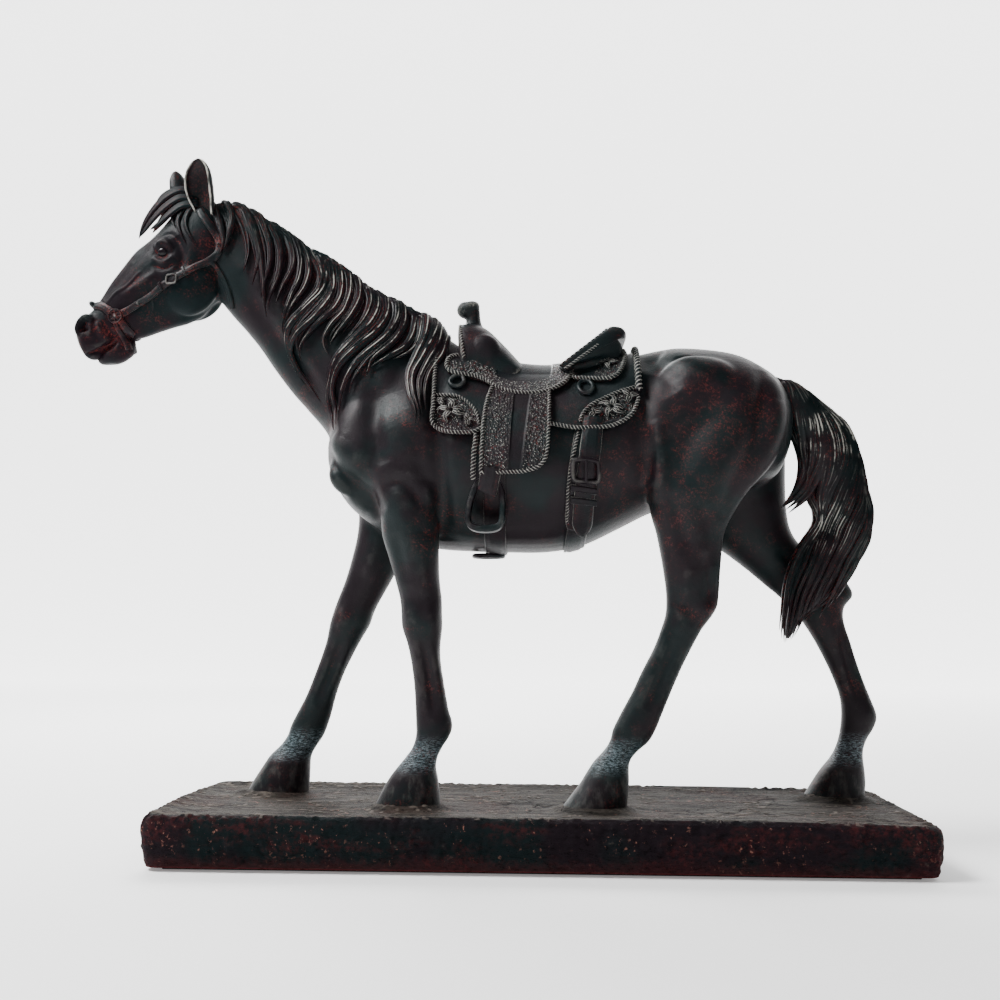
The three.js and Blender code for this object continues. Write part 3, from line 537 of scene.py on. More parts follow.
def proudness(obj, passes, scale):
    """Signed height of the skin over its own smoothed copy, in units of scale, clipped to -1..1."""
    p, n = read_points(obj), read_normals(obj)
    relax(obj, passes, lambda q: np.full(len(q), 0.8))
    smooth = read_points(obj)
    write_points(obj, p)
    return np.clip(((p - smooth) * n).sum(1) / scale, -1, 1)


store(body, "proud", proudness(body, 12, 0.35))
store(head, "proud", proudness(head, 14, 0.3))

# %% [markdown]
# A foundry casts the horse in sections. The legs are cut level in the forearm and gaskin, the neck
# on a slope from the withers to the breast, and the head upright behind the ears. A plane cut
# with its hole filled keeps every section closed.

# %% Cut the skin into castings


def section(source, name, cuts):
    """Copy of source that keeps what lies behind every cut plane (point, normal), with closed ends."""
    work = bmesh.new()
    work.from_mesh(source.data)
    for point, normal in cuts:
        geometry = work.verts[:] + work.edges[:] + work.faces[:]
        plane = dict(plane_co=Vector(point) * MM, plane_no=normal)
        bmesh.ops.bisect_plane(work, geom=geometry, **plane, clear_outer=True, dist=1e-7)
        rim = [e for e in work.edges if e.is_boundary]
        caps = bmesh.ops.holes_fill(work, edges=rim, sides=0)["faces"]
        for f in caps:
            f.smooth = False
            for e in f.edges:
                e.smooth = False
    mesh = bpy.data.meshes.new(name)
    work.to_mesh(mesh)
    work.free()
    return show(name, mesh)


LEG_CUT = (0, 0, 131)
NECK_CUT = ((-74, 0, 213), Vector((-0.747, 0, 0.664)).normalized())
HEAD_CUT = ((-150.5, 0, 270), Vector((-1, 0, 0)))
down, up = Vector((0, 0, -1)), Vector((0, 0, 1))
torso = section(body, "torso_casting", [(LEG_CUT, down), NECK_CUT])
neck_casting = section(body, "neck_casting", [(LEG_CUT, down), (NECK_CUT[0], -NECK_CUT[1]), HEAD_CUT])
head_casting = section(head, "head_casting", [(HEAD_CUT[0], -HEAD_CUT[1]), ((-74, 0, 213), -NECK_CUT[1])])
leg_castings = {}
for leg_name, x_split, keep_front, side in (
    ("left_foreleg", -20, True, -1), ("right_foreleg", -20, True, 1), ("left_hindleg", -20, False, -1),
    ("right_hindleg", -20, False, 1),
):
    cuts = [
        (LEG_CUT, up), ((x_split, 0, 0), Vector((1 if keep_front else -1, 0, 0))),
        ((0, MID, 0), Vector((0, -side, 0))),
    ]
    leg_castings[leg_name] = section(body, leg_name + "_casting", cuts)
castings = [torso, neck_casting, head_casting, *leg_castings.values()]
print({o.name: len(o.data.vertices) for o in castings})


# %% [markdown]
# Hair, straps and leather all lie on the horse, so they need to know where its skin is. Two maps
# give that: the near side's depth over side view, and the barrel's radius over length and angle.


# %% Map the skin
def neighbours(value, wrap=False):
    """Mean of each cell's four neighbours; the border is repeated, or wrapped round across the columns."""
    pad = np.pad(value, ((1, 1), (0, 0)), mode="edge")
    pad = np.pad(pad, ((0, 0), (1, 1)), mode="wrap" if wrap else "edge")
    return (pad[2:, 1:-1] + pad[:-2, 1:-1] + pad[1:-1, 2:] + pad[1:-1, :-2]) / 4


def bilinear(d, u, v):
    """The table d read at fractional row u and column v; after the last column comes the first."""
    u = np.clip(u, 0, d.shape[0] - 1.001)
    i, j = u.astype(int), v.astype(int)
    s, t, k = u - i, v - j, (j + 1) % d.shape[1]
    return (d[i, j] * (1 - s) + d[i + 1, j] * s) * (1 - t) + (d[i, k] * (1 - s) + d[i + 1, k] * s) * t


class SideMap:
    """Near-side depth y over (x, z): the lowest y of the skin points in each cell, gaps filled and
    smoothed, read back by bilinear interpolation."""

    def __init__(self, points, cell=1.0):
        p = points[points[:, 1] < MID + 1][:, [0, 2, 1]]
        self.low = p[:, :2].min(0) - 8
        shape = np.ceil((p[:, :2].max(0) + 8 - self.low) / cell).astype(int) + 1
        self.cell = cell
        i, j = np.round((p[:, :2] - self.low) / cell).astype(int).T
        depth = np.full(shape, 99.0)
        np.minimum.at(depth, (i, j), p[:, 2])
        known = depth < 90
        self.top = np.where(known.any(1), known.shape[1] - 1 - np.argmax(known[:, ::-1], axis=1), 0)
        value = np.where(known, depth, MID + 1.0)
        for _ in range(30):
            value = np.where(known, value, neighbours(value))
        for _ in range(2):
            value = 0.5 * value + 0.5 * neighbours(value)
        self.value = value

    def read(self, x, z):
        v = np.clip((z - self.low[1]) / self.cell, 0, self.value.shape[1] - 1.001)
        return bilinear(self.value, (x - self.low[0]) / self.cell, v)

    def crest(self, x):
        """Height of the top of the skin at x."""
        i = (np.asarray(x, float) - self.low[0]) / self.cell
        return np.interp(i, np.arange(len(self.top)), self.low[1] + self.top * self.cell)

    def lay(self, x, z, lift=0.0):
        """Points lifted off the skin along its normal, and those normals."""
        y = self.read(x, z)
        e = 1.5
        gx = (self.read(x + e, z) - self.read(x - e, z)) / (2 * e)
        gz = (self.read(x, z + e) - self.read(x, z - e)) / (2 * e)
        n = unit(np.stack([gx, -np.ones_like(gx), gz], -1))
        return np.stack([x, y, z], -1) + n * np.asarray(lift)[..., None], n


skin_points = read_points(body)
skin_points = skin_points[skin_points[:, 2] > 126]
near_side = SideMap(skin_points)
head_side = SideMap(read_points(head), 0.7)
print("side map", near_side.value.shape, "withers at", near_side.crest(-50))


# %% [markdown]
# Hair on a bronze is modelled as locks: tapering ribbons with a domed back and a few deep grooves,
# laid over one another. One function sweeps such a ribbon along a path, and gives each point how
# proud it stands, so that the patina can pick out the ridges.


# %% One lock of hair
def framed(path, normals, count):
    """count points along a path, each with its normal and the direction across."""
    both = curve(np.concatenate([path, normals], 1), count)
    p, n = both[:, :3], both[:, 3:]
    along = unit(np.gradient(p, axis=0))
    n = unit(n - (n * along).sum(1, keepdims=True) * along)
    return p, n, np.cross(along, n)


def lock(path, normals, width, height, ridges=3, sections=34, around=20, sharp=1.6, root=0.35):
    """Ribbon on a path: across it runs b = -w..w, and its back rises by
    h * sqrt(1 - b*b) * (1 - depth * |cos(pi * ridges * (b + 1) / 2)|), so ridges stand between grooves.
    Width and height grow from the root and vanish at the tip as (1 - t**sharp)."""
    p, n, across = framed(path, normals, sections)
    t = np.linspace(0, 1, sections)[:, None]
    size = np.minimum(root + (1 - root) * np.sin(np.pi / 2 * fade(t / 0.3)), 1) * (1 - t**sharp) ** 0.8
    size[-1], size[0] = 0.01, 0.05
    a = circle(around)[None]
    b = np.cos(a)
    groove = np.abs(np.cos(np.pi * ridges * (b + 1) / 2))
    dome = np.sqrt(fade(1 - b * b))
    rise = np.where(np.sin(a) > 0, dome * (1 - 0.55 * groove), -0.55 * dome)
    points = p[:, None] + across[:, None] * (b * size * width)[..., None]
    points += n[:, None] * (rise * size**0.6 * height)[..., None]
    proud = np.where(np.sin(a) > 0, 1 - 2.0 * groove, -1.0)
    proud = np.where(np.abs(b) > 0.93, -0.6, proud) * np.ones_like(t)
    return points.reshape(-1, 3), tube_faces(sections, around), proud.ravel()


def hair(name, locks):
    """One mesh from many locks, with their proud values."""
    proud = np.concatenate([w for _, _, w in locks])
    return add_mesh(name, *stack([(p, f) for p, f, _ in locks]), attributes={"proud": proud})


# %% Lay the mane
mane_flow = [
    [(-150.5, 299), (-145, 289), (-145.5, 279), (-147, 271.5)],
    [(-155, 297), (-150.5, 287), (-147.5, 277.5), (-148.5, 270.5)],
    [(-145.5, 298.5), (-135, 285), (-131, 271.5), (-131.5, 260.5), (-132.5, 255.5)],
    [(-143, 298), (-133, 279), (-128, 260.5), (-126.5, 251), (-125, 241)],
    [(-138, 296.5), (-128.5, 281.5), (-125.5, 269), (-127, 256), (-128, 250)],
    [(-132, 291.5), (-122.5, 276.5), (-121, 263), (-123.5, 251), (-124.5, 244.5)],
    [(-127, 290), (-117.5, 276.5), (-115, 265.5), (-119, 254.5), (-121, 246)],
    [(-122, 285), (-113, 272.5), (-111.5, 260.5), (-115, 248.5), (-117, 239), (-117, 233)],
    [(-117, 281), (-108.5, 268), (-108.5, 256), (-114, 245), (-116.5, 236.5)],
    [(-112, 277), (-103, 264), (-102, 254.5), (-107.5, 246), (-114.5, 236.5), (-116, 231)],
    [(-107.5, 275), (-100.5, 264), (-100.5, 253.5), (-107.5, 244), (-114.5, 235.5), (-114.5, 227),
     (-111, 217.5), (-105, 210), (-98.5, 201)],
    [(-103.5, 274), (-97, 261.5), (-96.5, 251), (-103, 240), (-111, 232), (-113.5, 223.5),
     (-110.5, 215), (-106.5, 209.5)],
    [(-98.5, 270.5), (-92.5, 258), (-93.5, 246), (-101.5, 236.5), (-108, 228), (-109, 222.5)],
    [(-93.5, 268), (-88.5, 255.5), (-90, 243.5), (-95.5, 235.5), (-98, 228), (-95, 221)],
    [(-88.5, 264), (-84, 252), (-86.5, 241.5), (-92, 232), (-95, 226)],
    [(-84, 259), (-79, 249.5), (-80.5, 239), (-87.5, 228), (-92, 221)],
    [(-81.5, 257.5), (-75.5, 247), (-78, 236.5), (-85.5, 227), (-92, 218.5), (-94, 210.5), (-95, 202),
     (-92.5, 194), (-90.5, 186)],
    [(-76.5, 255.5), (-71, 244.5), (-74, 234), (-83, 224.5), (-90.5, 216), (-93, 207), (-91, 197.5),
     (-89.5, 188)],
    [(-71, 252.5), (-66.5, 241), (-70, 230.5), (-79, 221), (-85, 213), (-88.5, 203.5), (-89, 194)],
    [(-67, 249.5), (-63, 237.5), (-67, 227), (-75, 218.5), (-77.5, 211)],
    [(-62.5, 248), (-58, 237.5), (-60, 227), (-68, 220), (-75.5, 215)],
    [(-59.5, 247), (-55, 235), (-57, 224.5), (-66, 218.5)],
    [(-56, 244.5), (-52, 232.5), (-55.5, 221), (-58.5, 211.5), (-57.5, 202), (-54.5, 193.5), (-54, 186.5)],
    [(-51, 242), (-48.5, 231.5), (-52.5, 221), (-56.5, 210.5), (-55.5, 201), (-53, 193), (-53, 187.5)],
    [(-48, 239.5), (-46.5, 228), (-50.5, 217.5), (-53.5, 208), (-53, 198.5), (-51.5, 191)],
    [(-44, 234.5), (-44.5, 222), (-49, 212.5), (-51, 203.5), (-50.5, 194)],
]


def crest_swell(x):
    """The mane stands off the crest in four swells, height * |sin(pi * s)|**0.7, the last one the highest."""
    s = np.interp(x, [-155, -134, -113.5, -85, -56, -42], [0, 1, 2, 3, 3.5, 4])
    return np.interp(x, [-85, -56], [1.9, 4.6]) * np.abs(np.sin(np.pi * s)) ** 0.7


def mane_lock(line, width, height, lift, **kwargs):
    """A lock from the far side of the crest, over the top and down the near side."""
    path = curve(line, 30)
    x, z = path.T
    t = np.linspace(0, 1, len(x))
    z = np.minimum(z, near_side.crest(x) - 0.6)
    laid, n = near_side.lay(x, z, lift * fade(t * 5 + 0.4))
    laid[:, 2] += crest_swell(x[0]) * bell(z[0] - z, 9)
    over = np.array([[x[0] - 1.5, MID + 5.5, z[0] - 1.6], [x[0] - 0.6, MID + 2.5, laid[0, 2] + lift * 0.9]])
    first = np.array([[0, 0.6, 0.8], [0, 0.25, 1.0]])
    n = unit(np.where((t < 0.12)[:, None], n + np.array([0, 0.2, 0.8]), n))
    return lock(np.concatenate([over, laid]), np.concatenate([first, n]), width, height, **kwargs)


def between(a, b, mix, reach, sway):
    """A path part of the way from a to b, cut to a share of its length and swayed sideways."""
    pa, pb = curve(a, 12), curve(b, 12)
    p = curve(pa * (1 - mix) + pb * mix, 30)[: max(int(30 * reach), 6)]
    t = np.linspace(0, 1, len(p))
    p[:, 0] += sway * np.sin(np.pi * t) + 0.6 * sway * t
    return p


mane_locks = []
for line in mane_flow:
    width, sections = (3.4, 44) if len(line) > 6 else (3.0, 34)
    mane_locks.append(mane_lock(line, width, 2.6, 1.5, sections=sections))
for a, b in zip(mane_flow[:-1], mane_flow[1:]):
    for mix in (0.3, 0.62):
        reach = rng.uniform(0.55, 0.97)
        p = between(a, b, mix + rng.uniform(-0.08, 0.08), reach, rng.uniform(-1.6, 1.6))
        mane_locks.append(mane_lock(p, rng.uniform(1.9, 2.9), 2.2, rng.uniform(0.6, 1.9), ridges=2))
    p = between(a, b, 0.5, rng.uniform(0.5, 0.9), 0)
    mane_locks.append(mane_lock(p, 3.6, 1.7, 0.2, ridges=4))
mane = hair("mane_locks", mane_locks)
print("mane locks", len(mane_locks), "quads", len(mane.data.polygons))

# %% [markdown]
# The forelock flies forward off the brow, clear of the forehead, and two thin locks lie on the
# temple. Each ear is a funnel: a leaf-shaped sheet rolled round its own length with its mouth
# turned out to the side. The eyes are balls set behind the lids.

# %% Forelock, ears and eyes
# side-view line, distance from the middle plane, half width
forelock_flow = [
    ([(-161, 302), (-170, 305), (-178, 301), (-184, 294), (-187.6, 287.4), (-189.6, 281)], -3.4, 3.0),
    ([(-161, 300), (-170, 301), (-177, 296.6), (-182.6, 290.6), (-186.4, 285), (-189, 281.4)], -4.4, 3.2),
    ([(-161, 298), (-169, 297), (-175, 292.6), (-179.6, 288), (-183.8, 284.8)], -5.0, 3.2),
    ([(-161, 303), (-170.5, 305.6), (-178.4, 303), (-182.6, 297), (-185.8, 290.4)], -1.5, 2.8),
    ([(-163, 303), (-171.5, 305), (-178.5, 302.5), (-182.5, 297), (-185.5, 291.6)], 2.5, 2.6),
    ([(-163, 301), (-171, 301), (-177, 297), (-182, 291), (-185.6, 286)], 3.5, 2.8),
    ([(-163, 298), (-170, 297), (-175, 293), (-179.6, 289), (-183, 287)], 5.0, 2.8),
]
forelock_locks = []
for line, y, width in forelock_flow:
    path = curve(line, 24)
    t = np.linspace(0, 1, len(path))
    points = np.stack([path[:, 0], MID + y * (0.8 + 0.2 * t), path[:, 1]], 1)
    normals = np.tile([-0.4, np.sign(y) * 0.75, 0.5], (len(path), 1))
    forelock_locks.append(lock(points, normals, width, 1.9, sections=30, root=0.8, sharp=2.6))
temple_flow = [
    [(-162.5, 300), (-168, 295.5), (-170, 288), (-167.5, 281), (-164.5, 276)],
    [(-161.5, 299), (-165.5, 293), (-166, 286), (-162.5, 279), (-159.5, 275)],
    [(-164, 300.5), (-171, 297), (-173.5, 290.5), (-171, 285)],
]
for line in temple_flow:
    path = curve(line, 20)
    laid, n = head_side.lay(path[:, 0], np.minimum(path[:, 1], head_side.crest(path[:, 0]) - 0.8), 0.5)
    forelock_locks.append(lock(laid, n, 1.7, 1.3, ridges=2, sections=24))
forelock = hair("forelock_locks", forelock_locks)


def ear(name, base, tip, wide, side, open_way):
    """Rolled leaf: C(u) + w(u) * (sin(v) * across + cos(v) * back), v from -115 to 115 degrees, with an
    inner copy 1.1 mm inside. w swells from the root to 0.45 of the height and closes at the tip."""
    u = np.linspace(0, 1, 36)
    centre = curve([base, 0.5 * (np.array(base) + tip) + np.array([-1.2, 0.3 * side, 0]), tip], 36)
    heights = [0, 0.14, 0.3, 0.48, 0.66, 0.8, 0.9, 0.965, 1]
    widths = [0.62, 0.74, 0.92, 1, 0.97, 0.83, 0.6, 0.36, 0.05]
    w = wide * np.interp(u, heights, widths)
    back = -unit(np.array(open_way))
    across = np.cross([0, 0, 1], back)
    v = np.radians(np.linspace(-112, 112, 25))
    flare = 1 - 0.18 * (np.abs(v) / v[-1]) ** 3
    walls = []
    for r, a in ((w[:, None], v), (np.maximum(w - 1.0, 0.02)[:, None], v[::-1])):
        spot = centre[:, None] + across * (r * np.sin(a))[..., None]
        walls.append(spot + back * (0.62 * r * np.cos(a) * flare)[..., None])
    rim = np.abs(np.concatenate([v, v])) / v[-1]
    proud = np.where(rim > 0.93, 1.0, -1.0 * (np.arange(50) >= 25)) * np.ones((36, 1))
    points = np.concatenate(walls, 1).reshape(-1, 3)
    made = add_mesh(name, points, tube_faces(36, 50), attributes={"proud": proud.ravel()})
    recalc_outward(made)
    return made


def recalc_outward(obj):
    """Turns every face of a closed mesh outwards."""
    work = bmesh.new()
    work.from_mesh(obj.data)
    bmesh.ops.recalc_face_normals(work, faces=work.faces)
    work.to_mesh(obj.data)
    work.free()


left_ear = ear("left_ear_cup", (-157.4, -4.6, 291), (-160.6, -8.5, 317.4), 7.6, -1, (-0.35, -1, 0.05))
right_ear = ear("right_ear_cup", (-167.5, 8.6, 293), (-177.4, 12, 319.4), 5.0, 1, (-0.45, 1, 0.05))


def mirrored(points, faces):
    """The same surface on the far side: y reflected in the middle plane, faces turned over."""
    q = points.copy()
    q[:, 1] = 2 * MID - q[:, 1]
    return q, [f[:, ::-1] for f in faces]


eye_y = float(head_side.read(np.array([-175.8]), np.array([272.6]))[0])
ball = ellipsoid((-175.8, eye_y + 1.25, 272.6), (2.9, 2.8, 2.7), 0, 24, 36)
eyes = add_mesh("eyes", *stack([ball, mirrored(*ball)]))
print("eye depth", eye_y)

# %% [markdown]
# The tail leaves the dock, swings out behind and sweeps back under itself. A core carries the bulk,
# and the locks lie on both of its sides, so it reads as hair from anywhere.

# %% Tail
TAIL_LEAN = (0, 0, 0, 0, 1, 2, 2, 3, 4, 5, 5, 5, 5, 4, 4, 3, 3, 2)
tail_core = loft([
    (100, 216.5, 104, 205, 4), (107, 214, 109, 203.5, 4.2), (112.5, 211.6, 113, 198, 4.8),
    (118, 208.6, 115.5, 192, 5.6), (123.5, 204.4, 118, 186, 6.4), (129.8, 199.4, 120.5, 181, 7.4),
    (136.4, 193.8, 122, 175.5, 8.2), (141.6, 186.8, 123, 170.5, 8.8), (143.8, 178.6, 124, 165, 9.2),
    (146.5, 170.5, 124.6, 161, 9.4), (147, 163.5, 126.5, 156, 9.5), (147.5, 156.5, 129, 150, 9.5),
    (149.6, 150, 128.4, 144, 9.3), (147.2, 142.6, 124.6, 138, 8.9), (143.5, 133.5, 119, 132, 8.4),
    (140.2, 126.2, 116.5, 125.5, 7.8), (134.5, 118, 114.5, 117, 7), (127.5, 110.5, 113.2, 108.5, 5.6),
    (119.5, 104.5, 112, 102, 4), (115.5, 98, 111.2, 97.4, 2.4), (113.2, 95, 112, 95, 1),
], TAIL_LEAN, rings=120)
tail_flow = [
    [(110.5, 212), (114, 207.5), (118, 193.5), (121.5, 179.5), (120.4, 169), (116, 161), (110.5, 154.5)],
    [(111.5, 212), (116.5, 206.5), (122.5, 192.5), (124.5, 177), (122.6, 167), (117.5, 159.6),
     (109.5, 153.5)],
    [(112.5, 212), (118, 206.5), (125.5, 192), (127.5, 178), (124.8, 167.5), (120.4, 160), (112, 153)],
    [(114, 211), (120, 205), (127.5, 190), (129, 175), (126.4, 166), (121.6, 158.6), (113.4, 151.6)],
    [(113, 212), (119, 206.5), (127, 191.5), (130, 176.5), (128.6, 160.5), (127.8, 147.5),
     (119.5, 135.5), (113, 120), (109.8, 98.5)],
    [(114, 212), (120.5, 206.5), (129.5, 192.5), (133, 177.5), (130.4, 160.5), (129, 147),
     (121.6, 134.5), (114.4, 119), (110.8, 95.5)],
    [(115, 211.5), (122, 205.5), (133, 192.5), (136.5, 177.5), (131.5, 160.5), (128.2, 146),
     (122.2, 132.5), (116, 117.5), (111.5, 93.8)],
    [(116.5, 211), (124, 203), (135.5, 191.5), (139.5, 176.5), (135, 159.5), (130, 144), (124, 130.5),
     (117.5, 115.5), (112, 94)],
    [(119.5, 208.5), (127.5, 201.5), (138.5, 190.5), (142, 175.5), (137.5, 159), (132.5, 143),
     (125.5, 129.5), (119, 113.5), (113.5, 94.8)],
    [(124, 203), (130, 199.6), (139.2, 189.5), (144, 174.5), (140.5, 158), (134.5, 142), (128, 128),
     (121, 113), (114.5, 96)],
    [(134.6, 197.2), (139.4, 190.8), (144.4, 176.5), (145.5, 161.5), (140, 146), (133.5, 133),
     (126, 118.5), (119.5, 104)],
    [(142, 184), (145.4, 175), (146.5, 156), (141, 142), (134.5, 129.5), (127.5, 116.5), (124.5, 110.5)],
    [(145, 176), (147.4, 161.5), (147.2, 147.5), (141.5, 136.5), (135, 124), (129, 111), (126.5, 105)],
    [(147, 163), (149.4, 154), (147.6, 144), (142.5, 133), (136.5, 121), (130.5, 110)],
    [(148.8, 150), (148.2, 142), (146, 136), (143, 130.5), (140, 124.5), (136.5, 118), (134, 113.5)],
]


def tail_side(points, far):
    """Locks on one side of the core; the far side is worked as the near one and mirrored back."""
    q = points.copy()
    if far:
        q[:, 1] = 2 * MID - q[:, 1]
    skin = SideMap(q)
    made = []
    flows = [(f, *((3.5, 2.8) if i < 4 else (2.7, 2.0)), 0.9 + 0.07 * i, 3) for i, f in enumerate(tail_flow)]
    for a, b in zip(tail_flow[:-1], tail_flow[1:]):
        if abs(a[0][0] - b[0][0]) < 13 and abs(a[-1][1] - b[-1][1]) < 16:
            for mix in (0.35, 0.68):
                line = between(a, b, mix, rng.uniform(0.7, 1.0), rng.uniform(-1, 1))
                flows.append((line, 2.0, 1.8, rng.uniform(0.6, 1.7), 2))
    for line, width, height, lift, ridges in flows:
        path = curve(line, 34)
        laid, n = skin.lay(path[:, 0], path[:, 1], lift)
        p, f, w = lock(laid, n, width, height, ridges=ridges, sections=38, around=16, root=0.6)
        if far:
            p, f = mirrored(p, f)
        made.append((p, f, w))
    return made


def ridge_lock(column):
    """A lock down one column of the core's grid; column 0 is its back edge and 24 its front edge."""
    rings = tail_core[0][: 120 * 48].reshape(120, 48, 3)[6:116:5]
    out = unit(rings[:, column] - rings.mean(1))
    path = rings[:, column] + out * 0.4 + [[0.7, 0, 0]] * np.sin(np.arange(22) * 0.9 + column)[:, None]
    return lock(path, out, 2.3, 1.7, sections=70, around=16, root=0.6)


core_lock = (*tail_core, np.full(len(tail_core[0]), -0.3))
edge_locks = [ridge_lock(column) for column in (-5, 5, -2, 2, 0, 21, 27, 24)]
side_locks = [part for far in (False, True) for part in tail_side(tail_core[0], far)]
tail = hair("tail_locks", [core_lock] + edge_locks + side_locks)
print("tail quads", len(tail.data.polygons))

# %% [markdown]
# The saddle lies on the barrel in layers. A layer is a grid over length and angle round the barrel,
# pushed out by its place in the stack, with the tooling pressed into its height. It closes
# through a thin edge to an underside, so every leather is a real sheet.


# %% Map the barrel and lay leather on it
class BarrelMap:
    """Radius of the skin about the line (MID, middle(x)) over length x and angle from the top."""

    def __init__(self, points, x0=-66, x1=66):
        p = points[(points[:, 0] > x0) & (points[:, 0] < x1)]
        self.x0, self.cell, self.turns = x0, 1.5, 120
        shape = (int((x1 - x0) / self.cell) + 1, self.turns)
        dz, dy = p[:, 2] - self.middle(p[:, 0]), p[:, 1] - MID
        turn = np.arctan2(dy, dz) % (2 * np.pi) / (2 * np.pi)
        at = ((p[:, 0] - x0) / self.cell).astype(int), np.round(turn * self.turns).astype(int) % self.turns
        total, count = np.zeros(shape), np.zeros(shape)
        np.add.at(total, at, np.hypot(dy, dz))
        np.add.at(count, at, 1)
        known = count > 0
        value = total / np.maximum(count, 1)
        value = np.where(known, value, value[known].mean())
        for k in range(24):
            mean = neighbours(value, wrap=True)
            value = np.where(known, value, mean) if k < 20 else 0.4 * value + 0.6 * mean
        self.value = value

    @staticmethod
    def middle(x):
        return 0 * x + 178.0

    def read(self, x, angle):
        v = (angle / (2 * np.pi) * self.turns) % self.turns
        return bilinear(self.value, (x - self.x0) / self.cell - 0.5, v)

    def place(self, x, angle, lift):
        r = self.read(x, angle) + lift
        return np.stack([x, MID + r * np.sin(angle), self.middle(x) + r * np.cos(angle)], -1)

    def angle_at(self, x, z, lift=0.0):
        """Near-side angle (negative) at which the layer's surface reaches height z, for each x."""
        a = np.linspace(0, -np.pi, 181)
        x = np.atleast_1d(x)[:, None] + 0 * a
        grid = self.place(x, a + 0 * x, lift)
        return np.array([np.interp(-zz, -row, a) for zz, row in zip(np.atleast_1d(z), grid[..., 2])])


barrel = BarrelMap(skin_points)


def value_noise(x, y, seed=0):
    """Smooth random hills of size one: hashed corner values blended by s*s*(3 - 2s). Gives 0..1."""
    i, j = np.floor(x), np.floor(y)
    s, t = x - i, y - j
    s, t = s * s * (3 - 2 * s), t * t * (3 - 2 * t)

    def corner(a, b):
        h = np.sin(a * 127.1 + b * 311.7 + seed * 74.7) * 43758.5453
        return h - np.floor(h)

    top = corner(i, j) * (1 - s) + corner(i + 1, j) * s
    low = corner(i, j + 1) * (1 - s) + corner(i + 1, j + 1) * s
    return top * (1 - t) + low * t


def sheet(top, under, proud, tooled):
    """Closed sheet from the grids of its top and underside, with how proud and how tooled its top is."""
    rows, columns = proud.shape
    ring = np.concatenate([top, under[:, ::-1]], 1)
    pair = np.arange(columns - 1)
    strip = np.stack([pair, pair + 1, 2 * columns - 2 - pair, 2 * columns - 1 - pair], 1)
    faces = [grid_faces(rows, 2 * columns, wrap=True), strip[:, ::-1], strip + (rows - 1) * 2 * columns]
    values = np.concatenate([np.stack([proud, tooled], -1), np.stack([0 * proud - 1, 0 * tooled], -1)], 1)
    return facing_out((ring.reshape(-1, 3), faces, values.reshape(-1, 2)))


def rounded(to_side, to_end):
    """0 at the edge of a sheet, growing to 1 over 0.8 mm."""
    return fade(np.minimum(to_side, to_end) / 0.8)


def leather(x, first, lift, thick, relief, columns):
    """Sheet over rows x, each from the near side's angle first(x) to the same on the far side. Its top
    is at lift + thick + relief and dips at the rim by 0.5 mm; relief(x, z) gives the height, how proud
    it is and how tooled."""
    v = np.linspace(0, 1, columns)[None]
    angle = first[:, None] * (1 - v) - first[:, None] * v
    xs = np.repeat(x[:, None], columns, 1)
    flat = barrel.place(xs, angle, lift + thick)
    across = np.linalg.norm(np.diff(flat, axis=1), axis=2)
    arc = np.concatenate([np.zeros((len(x), 1)), np.cumsum(across, 1)], 1)
    rim = rounded(np.minimum(arc, arc[:, -1:] - arc), np.minimum(xs - x[0], x[-1] - xs))
    height, proud, tooled = relief(xs, flat[..., 2])
    top = barrel.place(xs, angle, lift + thick + height * rim - 0.5 * (1 - rim))
    return sheet(top, barrel.place(xs, angle, lift + 0 * xs), proud, tooled)


def edge_curve(points, x):
    """Height of an outline at each x: straight between its points."""
    px, pz = zip(*points)
    return np.interp(x, px, pz)


print("barrel radius at the girth", barrel.read(np.array([-20.0]), np.array([-1.6])))

# %% [markdown]
# Rope edging runs round the skirt, jockeys and fenders. A real one is a twisted cord, so the rope
# is a tube whose cross-section has three lobes that turn as it travels.


# %% Rope, straps and small fittings
def round_wire(p, n, b, radius, around):
    """Tube of points about p at angles a: p + radius * (cos(a) * n + sin(a) * b)."""
    a = circle(around)[None, :, None]
    return p[:, None] + (n[:, None] * np.cos(a) + b[:, None] * np.sin(a)) * radius


def rope(path, normals, radius=0.85, pitch=1.5):
    """Tube of radius r * (1 + 0.2 * cos(2 * (a - turn))), turn growing by half a circle per pitch."""
    around, step = 8, 0.3
    length = np.linalg.norm(np.diff(path, axis=0), axis=1).sum()
    count = max(int(length / step), 8)
    turn = np.arange(count)[:, None] * (length / count) / pitch * np.pi
    lobes = np.cos(2 * (circle(around)[None] - turn))
    points = round_wire(*framed(path, normals, count), (radius * (1 + 0.2 * lobes))[..., None], around)
    return facing_out((points.reshape(-1, 3), tube_faces(count, around), (lobes * 0.9 + 0.1).ravel()))


def strap_sheet(top, under, edge):
    """Closed strap from the grids of its top and underside; edge is how proud its top is."""
    ring = np.concatenate([top, under[:, ::-1]], 1)
    flat = np.ones(top.shape[:2])
    value = np.concatenate([edge * flat, -flat], 1)
    return facing_out((ring.reshape(-1, 3), tube_faces(*ring.shape[:2]), value.ravel()))


